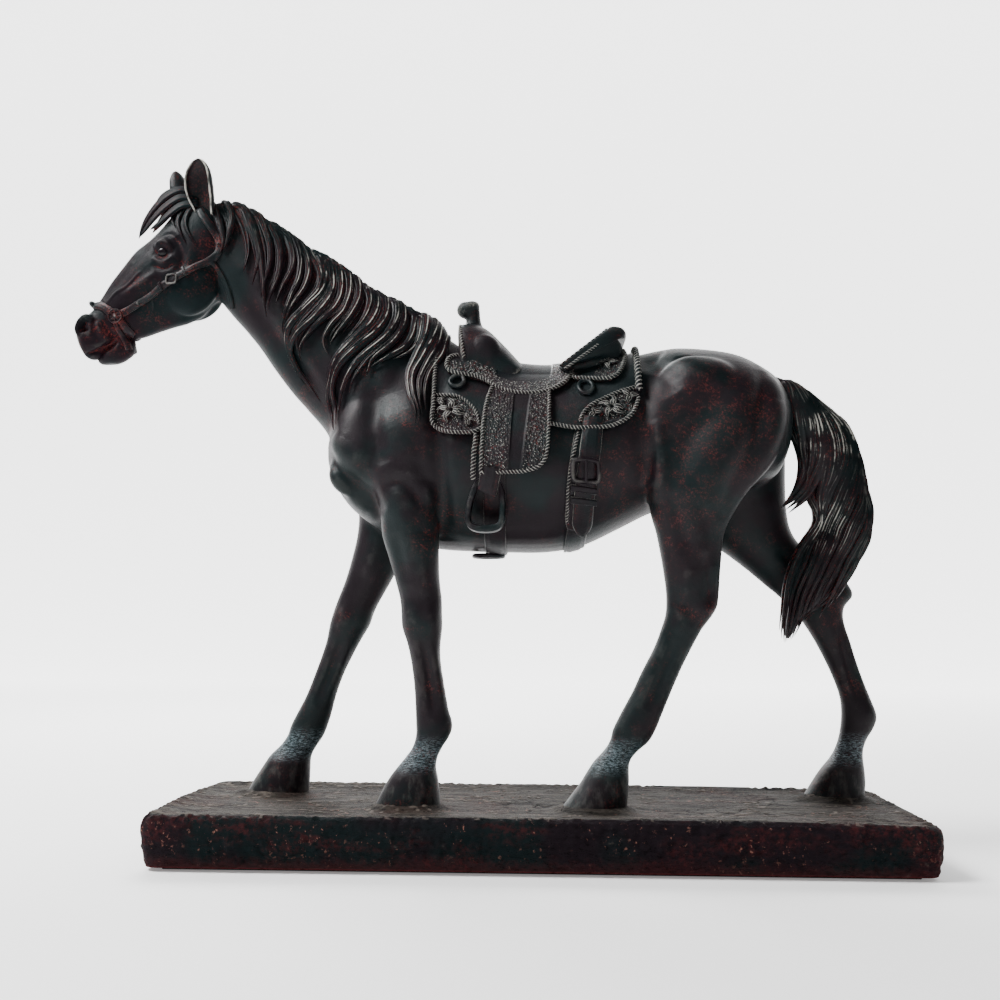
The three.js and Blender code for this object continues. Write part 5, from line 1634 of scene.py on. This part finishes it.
s, t = np.meshgrid(np.linspace(-1, 1, NX), np.linspace(-1, 1, NY), indexing="ij")
x, y = slab_plan(s, t, HALF_X, HALF_Y, CORNER)
edge = np.minimum(HALF_X * (1 - np.abs(s)), HALF_Y * (1 - np.abs(t)))
x = x + 4.0 * fade(-s) ** 3 * fade(t)
roll = fade(edge / 1.2)
lip = 1.5 * bell(edge, 9) * (1 - fade(s) ** 4)
z = HIGH_Z + lip - 0.8 * (1 - np.sqrt(1 - (1 - roll) ** 2))
hills = 1.1 * (value_noise(x / 30, y / 22, 1) - 0.5) + 0.5 * (value_noise(x / 9, y / 6, 2) - 0.5)
lumps = 0.5 * scattered(x / 2.2, y / 1.6, 4, 3, 1.7) * scattered(x / 16, y / 9, 5, 3, 1.1)
near_edge = bell(edge, 5.0)
torn = 1.7 * near_edge * (value_noise(x / 1.7, y / 1.5, 7) - 0.55) * scattered(x / 14, y / 14, 8, 3, 0.8)
valleys = cracks(x, y, 7.5, 11)
mound = np.zeros_like(x)
for hx, hy in ((-56.5, -18), (-124.3, 22), (23.9, -18), (135.4, 22)):
    d = np.hypot((x - hx) / 17.5, (y - hy) / 13.0)
    mound = np.maximum(mound, 2.5 * bell(np.clip(d - 0.74, 0, 9), 0.27))
z = z + (hills + lumps - 0.5 * valleys * (1 - near_edge)) * fade(edge / 4) + torn + mound
slab_proud = np.clip(1.4 * (lumps / 0.45) + 0.9 * torn / 0.4 - 1.6 * valleys + 0.12 * mound - 0.1, -1, 1)
top = np.stack([x, y, z], -1).reshape(-1, 3)
index = np.arange(NX * NY).reshape(NX, NY)
loop = np.concatenate([index[:, 0], index[-1, 1:], index[-2::-1, -1], index[0, -2:0:-1]])
side_rows = 34
outline = top[loop]
bound = outline[:, :2]
outward = bound / np.array([HALF_X, HALF_Y])
outward = np.where(np.abs(outward) > 0.9, outward, 0) ** 5
outward /= np.linalg.norm(outward, axis=1, keepdims=True) + 1e-9
depth = np.linspace(0, 1, side_rows + 1)[1:][:, None]
run = np.arange(len(loop))[None] * 0.9 + 0 * depth
patches = scattered(run / 17, depth * 2, 23, 3, 1)
bulge = 2.3 * np.sin(np.pi * depth**0.8) ** 0.6 * (1 - 0.35 * depth)
bulge = bulge + 0.5 * (value_noise(run / 22, depth * 2.2, 21) - 0.5)
bulge = bulge + 1.1 * (value_noise(run / 1.8, depth * 10, 22) - 0.5) * patches
bulge = bulge * fade((1 - depth) / 0.06)
side_xy = bound[None] * (1 - 0.004 * depth[..., None]) + outward[None] * bulge[..., None]
side_z = outline[None, :, 2] * (1 - depth) + LOW_Z * depth
side = np.concatenate([side_xy, side_z[..., None]], 2)
side_proud = 0.5 * scattered(run / 1.8, depth * 10, 22, 4, 2.6) * patches
ring = np.arange(side_rows * len(loop)).reshape(side_rows, -1) + NX * NY
rows = np.concatenate([loop[None], ring], 0)
around = np.roll(rows, -1, axis=1)
side_faces = np.stack([rows[:-1], rows[1:], around[1:], around[:-1]], -1).reshape(-1, 4)
slab_points = np.concatenate([top, side.reshape(-1, 3)])
on_top = fade(edge / 1.6 - 0.3)
slab_values = np.stack([np.append(slab_proud, side_proud), np.append(on_top, 0 * side_proud)], 1)
slab_part = facing_out((slab_points, [grid_faces(NX, NY), side_faces, ring[-1][None, ::-1]], slab_values))
slab = fitting("base_slab", [slab_part])
recalc_outward(slab)
print("slab quads", len(slab.data.polygons))

# %% [markdown]
# Shading. `Value` wraps a socket so that shader maths reads like arithmetic, and `Tree` adds any
# other node with one method. All positions are in millimetres in the object's own space.


# %% Shader helpers
class Value:
    """A socket in a shader tree that can be added, multiplied and so on."""

    def __init__(self, tree, socket):
        self.tree, self.socket = tree, socket

    def math(self, kind, *others, swap=False):
        values = [self, *others]
        if swap:
            values = values[::-1]
        return self.tree.add("ShaderNodeMath", {"operation": kind}, dict(enumerate(values)))

    def __add__(self, o):
        return self.math("ADD", o)

    def __sub__(self, o):
        return self.math("SUBTRACT", o)

    def __rsub__(self, o):
        return self.math("SUBTRACT", o, swap=True)

    def __mul__(self, o):
        return self.math("MULTIPLY", o)

    __radd__, __rmul__ = __add__, __mul__

    def most(self, o):
        return self.math("MAXIMUM", o)

    def step(self, low, high, a=0.0, b=1.0):
        """Smooth step from a at low to b at high."""
        limits = {"Value": self, "From Min": low, "From Max": high, "To Min": a, "To Max": b}
        return self.tree.add("ShaderNodeMapRange", {"interpolation_type": "SMOOTHSTEP"}, limits)


class Tree:
    """The node tree of one material."""

    def __init__(self, name):
        self.material = bpy.data.materials.new(name)
        self.material.use_nodes = True
        self.nodes, self.links = self.material.node_tree.nodes, self.material.node_tree.links
        self.shader = self.nodes["Principled BSDF"]
        spot = self.add("ShaderNodeTexCoord", out="Object")
        self.position = self.vector("MULTIPLY", spot, (1000, 1000, 1000))

    def add(self, kind, settings=(), values=(), out=0):
        """Adds a node: settings are set first, then each input gets its value or its link."""
        node = self.nodes.new(kind)
        for key, value in dict(settings).items():
            setattr(node, key, value)
        self.fill(node, values)
        return Value(self, node.outputs[out])

    def fill(self, node, values):
        for key, value in dict(values).items():
            if isinstance(value, Value):
                self.links.new(value.socket, node.inputs[key])
            else:
                node.inputs[key].default_value = value

    def noise(self, size, detail=2.0, rough=0.5, stretch=(1, 1, 1), shift=0.0):
        """Noise of about the given size in mm, longer along an axis by its stretch."""
        scale = tuple(1 / (size * k) for k in stretch)
        place = self.vector("ADD", self.vector("MULTIPLY", self.position, scale), (shift, shift, shift))
        values = {"Vector": place, "Scale": 1.0, "Detail": detail, "Roughness": rough}
        return self.add("ShaderNodeTexNoise", {}, values)

    def cells(self, size):
        """Rounded pebbles of about the given size: 1 at the middle of a cell, falling to its edge."""
        place = self.vector("MULTIPLY", self.position, (1 / size, 1 / size, 1 / size))
        return 1.0 - self.add("ShaderNodeTexVoronoi", {}, {"Vector": place, "Scale": 1.0}) * 1.25

    def axis(self, letter):
        return self.add("ShaderNodeSeparateXYZ", {}, {0: self.position}, out=letter)

    def stored(self, key):
        return self.add("ShaderNodeAttribute", {"attribute_name": key}, out="Fac")

    def vector(self, kind, a, b, **kwargs):
        return self.add("ShaderNodeVectorMath", {"operation": kind}, {0: a, 1: b}, **kwargs)

    def ball(self, centre, radius):
        """1 at a centre and at its mirror image in the middle plane, falling smoothly to 0 at radius."""
        moved = self.vector("SUBTRACT", self.position, (0, MID, 0))
        across = self.vector("ABSOLUTE", self.vector("MULTIPLY", moved, (0, 1, 0)), (0, 0, 0))
        place = self.vector("ADD", across, self.vector("MULTIPLY", moved, (1, 0, 1)))
        gap = self.vector("DISTANCE", place, (centre[0], abs(centre[1] - MID), centre[2]), out="Value")
        return gap.step(radius, radius * 0.3)

    def mix(self, factor, a, b):
        return self.add("ShaderNodeMix", {"data_type": "RGBA"}, {0: factor, 6: a, 7: b}, out=2)

    def bump(self, height, strength, distance):
        return self.add("ShaderNodeBump", {}, {"Height": height, "Strength": strength, "Distance": distance})

    def finish(self, colour, rough, normal, metallic=0.0, specular=0.5):
        surface = {"Base Color": colour, "Roughness": rough, "Metallic": metallic}
        self.fill(self.shader, {**surface, "Specular IOR Level": specular})
        self.fill(self.shader, {"Normal": normal} if normal else {})
        return self.material


def rgb(r, g, b):
    return (r, g, b, 1.0)


print("shader helpers ready")

# %% [markdown]
# The patina is nearly black, leaning to blue-green in some clouds and to purple in others. Over it
# lie red-brown rubbed patches, a fine red speckle, and a pale dry-brushing on everything that stands
# proud; on the hair and the tooling the brushing is also a painted highlight, strongest where the
# light catches the mane and tail. Just above each hoof a silvery blue has been brushed round the leg.

# %% Patina
TEAL, AUBERGINE = rgb(0.0040, 0.0085, 0.0095), rgb(0.0085, 0.0055, 0.0078)
RED, PALE, SILVER = rgb(0.095, 0.018, 0.016), rgb(0.42, 0.41, 0.37), rgb(0.24, 0.31, 0.34)
RED_PLACES = [
    ((80, -30, 192), 46, 0.62), ((60, -28, 150), 34, 0.55), ((30, -30, 168), 22, 0.6),
    ((-16, -34, 146), 20, 0.7), ((-44, -26, 140), 18, 0.8), ((130, 10, 110), 30, 0.5),
    ((-200, -6, 234), 15, 1.0), ((-153, -12, 276), 13, 0.7), ((-176, -10, 272), 7, 0.7),
    ((-50, -30, 186), 12, 0.5), ((-46, -30, 150), 12, 0.6), ((48, -28, 190), 14, 0.6),
    ((-62, -14, 100), 12, 0.5), ((66, -14, 108), 12, 0.5), ((-180, -8, 240), 10, 0.6),
    ((-22, -34, 150), 10, 1.0), ((-118, -12, 30), 16, 0.4),
]


def patina(
    name, brushed=0.6, reds=1.0, hollows=0.4, places=(), painted_highlights=(), rough=0.42, bands=False, relief=0.35,
    patchy=True, specular=0.15, tooled=False, catch=(0.25, 1.05),
):
    """The near-black skin. brushed, reds and hollows are the strengths of the pale brushing, the rubbed
    red and the red left in hollows; places say where red gathers, and painted_highlights where the
    brushing gathers as a painted highlight, where the light catches the hair."""
    t = Tree(name)
    cloud = t.noise(30, 3, 0.6)
    grain = t.noise(0.8, 4, 0.7)
    skin = t.noise(2.4, 4, 0.65, shift=4.0)
    proud = t.stored("proud")
    texture = grain * 0.6 + skin * 0.4
    # tooled pebble tops stand proud, so the pale brushing catches them: partly a painted highlight
    if tooled:
        punch = t.stored("marked") * t.cells(0.95)
        proud = proud + punch * 2.5 - t.stored("marked") * 1.15
        texture = texture + punch * 2.4
    colour = t.mix(cloud.step(0.42, 0.6), TEAL, AUBERGINE)
    rubbed = t.noise(1.0, 5, 0.8, shift=7.0).step(0.46, 0.60)
    where = t.noise(20, 3, 0.6, shift=2.0).step(0.46, 0.66) * 0.6
    for centre, radius, share in places:
        where = where.most(t.ball(centre, radius) * share)
    patch = t.noise(6, 4, 0.7, shift=3.0).step(0.36, 0.6)
    red = rubbed * where * patch * reds
    red = red + (proud * -1.0).step(0.25, 0.9) * rubbed * hollows
    colour = t.mix(red.step(0.0, 1.0), colour, RED)
    # pale dry-brushing on whatever stands proud: partly real rubbed wear, partly a painted highlight on hair
    # ridges and tooled pebble tops
    high = (proud + (grain - 0.5) * 0.9).step(*catch)
    if patchy:
        high = high * t.noise(7, 3, 0.6, shift=5.0).step(0.36, 0.6)
    share = brushed
    # painted highlight: round these places the pale brushing is made stronger, where the light catches the
    # mane and tail
    if painted_highlights:
        lit = t.ball(*painted_highlights[0])
        for centre, radius in painted_highlights[1:]:
            lit = lit.most(t.ball(centre, radius))
        share = (lit * 0.8 + 0.2) * brushed
    dust = t.noise(0.55, 2, 0.5, shift=1.0).step(0.58, 0.78)
    dust = dust * t.noise(13, 2, 0.5, shift=6.0).step(0.44, 0.66) * 0.10
    colour = t.mix((high * share + dust).step(0.0, 1.0), colour, PALE)
    roughness = (grain - 0.5) * 0.3 + rough + high * 0.1
    if bands:
        height = t.axis("Z")
        band = height.step(35, 42) * height.step(54, 45)
        ringed = t.noise(0.7, 5, 0.8, stretch=(2.4, 2.4, 0.5), shift=8.0)
        colour = t.mix(band * ringed.step(0.44, 0.66) * 0.8, colour, SILVER)
        hoof = height.step(38, 33) * t.noise(3.4, 3, 0.6, stretch=(1, 1, 2.2), shift=2.5).step(0.45, 0.7)
        colour = t.mix(hoof * 0.07, colour, PALE)
    normal = t.bump(texture, relief, 0.0006)
    return t.finish(colour, roughness, normal, specular=specular)


# painted highlight: places where the light catches the mane and tail, given stronger pale brushing
MANE_PAINTED_HIGHLIGHTS = [((-66, -22, 228), 42), ((-96, -20, 250), 36)]
TAIL_PAINTED_HIGHLIGHTS = [((133, -6, 186), 19), ((129, -6, 146), 16)]
horse_patina = patina("horse_patina", brushed=0.10, hollows=0.25, places=RED_PLACES, bands=True)
head_patina = patina("head_patina", brushed=0.12, hollows=0.7, places=RED_PLACES, rough=0.40, specular=0.05)
# the hair's strong, wide pale brushing on its ridges is partly a painted highlight
hair_patina = patina(
    "hair_patina", brushed=1.25, hollows=0.9, painted_highlights=MANE_PAINTED_HIGHLIGHTS + TAIL_PAINTED_HIGHLIGHTS, rough=0.32, specular=0.14,
    catch=(0.1, 0.9),
)
ear_patina = patina("ear_patina", brushed=0.7, hollows=0.35)
# pale brushing on rope edges and stipple tops: partly real wear, partly a painted highlight
tack_patina = patina(
    "tack_patina", brushed=0.75, reds=0.8, hollows=0.45, places=[((-22, -34, 150), 12, 1.0)], relief=0.55,
    patchy=False, tooled=True,
)
metal_patina = patina("tack_metal_patina", brushed=0.22, reds=0.5, rough=0.34, relief=0.3)
nose_reds = [((-199, -8, 243), 14, 1.0), ((-152, -12, 276), 22, 1.0)]
bridle_patina = patina("bridle_patina", brushed=0.35, reds=1.2, hollows=0.5, places=nose_reds)
eye_patina = patina("eye_patina", brushed=0.0, reds=0.0, hollows=0.0, rough=0.18, relief=0.05)
print("patinas", [m.name for m in bpy.data.materials if "patina" in m.name])

# %% Slab, fixings and pads
t = Tree("slab_patina")
height = t.axis("Z")
grain = t.noise(1.3, 5, 0.7)
swept = t.noise(3.0, 4, 0.65, stretch=(9, 1.6, 0.7), shift=3.0)
stippled = t.noise(2.4, 5, 0.75, shift=6.0)
proud = t.stored("proud")
top_share = (t.stored("marked") + (stippled - 0.5) * 0.8).step(0.3, 0.7)
side_colour = t.mix(t.noise(40, 2, 0.5).step(0.42, 0.58), TEAL, AUBERGINE)
maroon = t.noise(22, 3, 0.6, stretch=(2.0, 1, 0.7), shift=5.0).step(0.47, 0.62) * stippled.step(0.40, 0.62)
maroon = maroon.most((height + (stippled - 0.5) * 14.0).step(8.0, 2.2) * 0.6)
side_colour = t.mix(maroon * 0.8, side_colour, rgb(0.045, 0.010, 0.011))
top_colour = t.mix(swept.step(0.36, 0.64), rgb(0.014, 0.012, 0.0105), rgb(0.050, 0.043, 0.037))
top_colour = t.mix(t.noise(34, 3, 0.6, shift=9.0).step(0.5, 0.7) * 0.6, top_colour, rgb(0.032, 0.014, 0.011))
pits = t.noise(1.5, 4, 0.75, stretch=(2.4, 1, 1), shift=8.0).step(0.44, 0.36)
top_colour = t.mix(pits, top_colour, rgb(0.004, 0.0035, 0.0035))
specks = t.noise(1.1, 4, 0.75, shift=12.0).step(0.58, 0.68) * 0.5
top_colour = t.mix(specks, top_colour, rgb(0.085, 0.072, 0.062))
colour = t.mix(top_share, side_colour, top_colour)
chips = t.noise(2.0, 4, 0.7, shift=11.0).step(0.60, 0.66) * t.noise(15, 3, 0.6, shift=1.0).step(0.44, 0.6)
chips = chips * height.step(6.0, 17.0, 0.3, 1.0) * height.step(22.0, 20.4, 0.15, 1.0)
colour = t.mix(chips * 0.9, colour, rgb(0.26, 0.115, 0.085))
high = (proud + (grain - 0.5) * 1.0).step(0.35, 1.0)
colour = t.mix(high * 0.3, colour, rgb(0.24, 0.20, 0.17))
colour = t.mix((proud * -1.0).step(0.25, 0.9) * top_share, colour, rgb(0.008, 0.007, 0.007))
colour = t.mix(height.step(2.5, 1.9) * 0.5, colour, rgb(0.09, 0.016, 0.016))
rough = (grain - 0.5) * 0.3 + 0.68
relief = swept * 0.35 + grain * 0.35 + stippled * 0.6 - pits * 0.5
slab_patina = t.finish(colour, rough, t.bump(relief, 1.0, 0.0018), specular=0.05)


def plain(name, a, b, size, rough, relief, metallic=0.0, stretch=(1, 1, 1)):
    """Two tones mixed by noise, with a bump of the same grain."""
    t = Tree(name)
    grain = t.noise(size, 4, 0.65, stretch=stretch)
    wide = t.noise(size * 9, 2, 0.5, shift=4.0)
    colour = t.mix((grain * 0.7 + wide * 0.3).step(0.35, 0.65), a, b)
    return t.finish(colour, (grain - 0.5) * 0.25 + rough, t.bump(grain, relief, 0.0004), metallic)


dull, shiny = rgb(0.42, 0.42, 0.40), rgb(0.62, 0.62, 0.60)
steel = plain("zinc_plated_steel", dull, shiny, 1.2, 0.34, 0.15, 1.0, (1, 1, 6))
board = plain("pressed_board", rgb(0.16, 0.10, 0.055), rgb(0.27, 0.18, 0.10), 0.9, 0.8, 0.5)
felt = plain("black_felt", rgb(0.006, 0.006, 0.007), rgb(0.022, 0.022, 0.024), 0.5, 0.95, 1.0)
print("materials", len(bpy.data.materials))

# %% [markdown]
# Every surface now gets its material, rides on the one body and takes the place of its solid.

# %% Give the surfaces their materials and their body
BRONZE, TACK, METAL, BASE = "patinated_bronze", "patinated_tack", "tack_metal", "base_slab"
handed = [(edging, None, tack_patina, TACK), (eyes, None, eye_patina, BRONZE)]
handed.append((slab, "plinth", slab_patina, BASE))
for material, slot, group in (
    (horse_patina, BRONZE, {"torso": torso, "neck": neck_casting, **leg_castings}),
    (head_patina, BRONZE, {"head": head_casting, "forelock": forelock}),
    (hair_patina, BRONZE, {"mane": mane, "tail": tail}),
    (ear_patina, BRONZE, {"left_ear": left_ear, "right_ear": right_ear}),
    (tack_patina, TACK, {"skirt": skirt, "seat": seat_part, "rear_jockey": rear_jockey}),
    (tack_patina, TACK, {"fork": fork_casting, "horn": horn_casting, "cantle": cantle}),
    (tack_patina, TACK, {"left_fender": fender, "right_fender": far_fender}),
    (tack_patina, TACK, {"front_cinch": front_cinch, "rear_cinch": rear_cinch}),
    (tack_patina, TACK, {"left_billet": left_billet, "right_billet": right_billet}),
    (metal_patina, METAL, {"left_stirrup": left_stirrup, "right_stirrup": right_stirrup, **rings}),
    (metal_patina, METAL, {"left_buckle": left_buckle, "right_buckle": right_buckle}),
    (metal_patina, METAL, {"cinch_ring": cinch_ring}),
    (bridle_patina, TACK, {"crownpiece": crownpiece, "noseband": noseband, "throatlatch": throatlatch}),
    (bridle_patina, METAL, {"left_rosette": left_rosette, "right_rosette": right_rosette}),
):
    handed += [(piece, node, material, slot) for node, piece in group.items()]
for piece, node, material, finish_slot in handed:
    piece.data.materials.clear()
    piece.data.materials.append(material)
    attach(piece, "root")
    if node:
        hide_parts(node)
for name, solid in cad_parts.items():
    solid.data.materials.clear()
    solid.data.materials.append(board if "board" in name else felt if "felt" in name else steel)
print("pieces", len(handed), "triangles", sum(2 * len(h[0].data.polygons) for h in handed))

# %% [markdown]
# The camera stands a little above the slab and looks slightly up at the near side. The room is
# white with a pale floor; one large soft light hangs above and behind, one fills from the front.


# %% Camera
def aim_camera(place, yaw, pitch, roll, lens):
    """Camera at place; yaw turns it left, pitch tips it up and roll leans it."""
    data = bpy.data.cameras.new("camera")
    data.lens, data.sensor_width, data.clip_start = lens, 36, 0.01
    camera = show("camera", data)
    ahead = Vector((-math.sin(yaw) * math.cos(pitch), math.cos(yaw) * math.cos(pitch), math.sin(pitch)))
    level = ahead.cross(Vector((0, 0, 1))).normalized()
    above = level.cross(ahead)
    right = math.cos(roll) * level + math.sin(roll) * above
    top_way = math.cos(roll) * above - math.sin(roll) * level
    pose = Matrix((right, top_way, -ahead)).transposed().to_4x4()
    pose.translation = place
    camera.matrix_world = pose
    bpy.context.scene.camera = camera


aim_camera((0.002232, -0.5471, 0.10062), 0.0368, 0.1031, 0.0061, 43.2)


# %% Floor and lights
def area_light(name, place, target, size, power):
    data = bpy.data.lights.new(name, "AREA")
    data.shape, data.size, data.size_y = "RECTANGLE", size[0], size[1]
    data.energy = power
    light = show(name, data)
    light.location = place
    light.rotation_euler = (Vector(target) - Vector(place)).to_track_quat("-Z", "Y").to_euler()


area_light("key_above_left", (-0.75, -0.25, 1.05), (0, 0, 0.18), (0.5, 0.5), 30)
area_light("behind_left", (-0.35, 0.75, 0.75), (0, 0, 0.2), (0.5, 0.4), 10)
area_light("front_fill", (0.25, -1.3, 0.8), (0, 0, 0.15), (1.0, 0.7), 2.5)


bend = np.radians(np.linspace(0, 90, 24))[:, None]
bent = np.concatenate([1500 + 2500 * np.sin(bend), 2500 * (1 - np.cos(bend))], 1)
profile = np.concatenate([[[-6000, 0]], bent, [[4000, 9000]]])[:, None] + np.zeros((1, 2, 1))
sweep_points = np.concatenate([np.tile([[[-9000.0], [9000.0]]], (len(profile), 1, 1)), profile], 2)
sweep = add_mesh("pale_sweep", sweep_points.reshape(-1, 3), [grid_faces(len(profile), 2)[:, ::-1]])
t = Tree("glowing_white")
far = t.axis("Y").step(-200, 1600)
pale = t.mix(t.noise(60, 2, 0.5) * 0.1, rgb(0.93, 0.93, 0.93), rgb(0.88, 0.88, 0.88))
sweep_white = t.finish(pale, 0.7, None, specular=0.1)
t.links.new(t.mix(far, rgb(0.06, 0.06, 0.06), rgb(1, 1, 1)).socket, t.shader.inputs["Emission Color"])
t.shader.inputs["Emission Strength"].default_value = 3.0
sweep.data.materials.append(sweep_white)
world = bpy.data.worlds.new("soft_room")
world.use_nodes = True
world.node_tree.nodes["Background"].inputs["Color"].default_value = rgb(1, 1, 1)
ray = world.node_tree.nodes.new("ShaderNodeLightPath")
strength = world.node_tree.nodes.new("ShaderNodeMapRange")
strength.inputs["To Min"].default_value, strength.inputs["To Max"].default_value = 0.09, 3.0
world.node_tree.links.new(ray.outputs["Is Camera Ray"], strength.inputs["Value"])
world.node_tree.links.new(strength.outputs[0], world.node_tree.nodes["Background"].inputs["Strength"])
bpy.context.scene.world = world
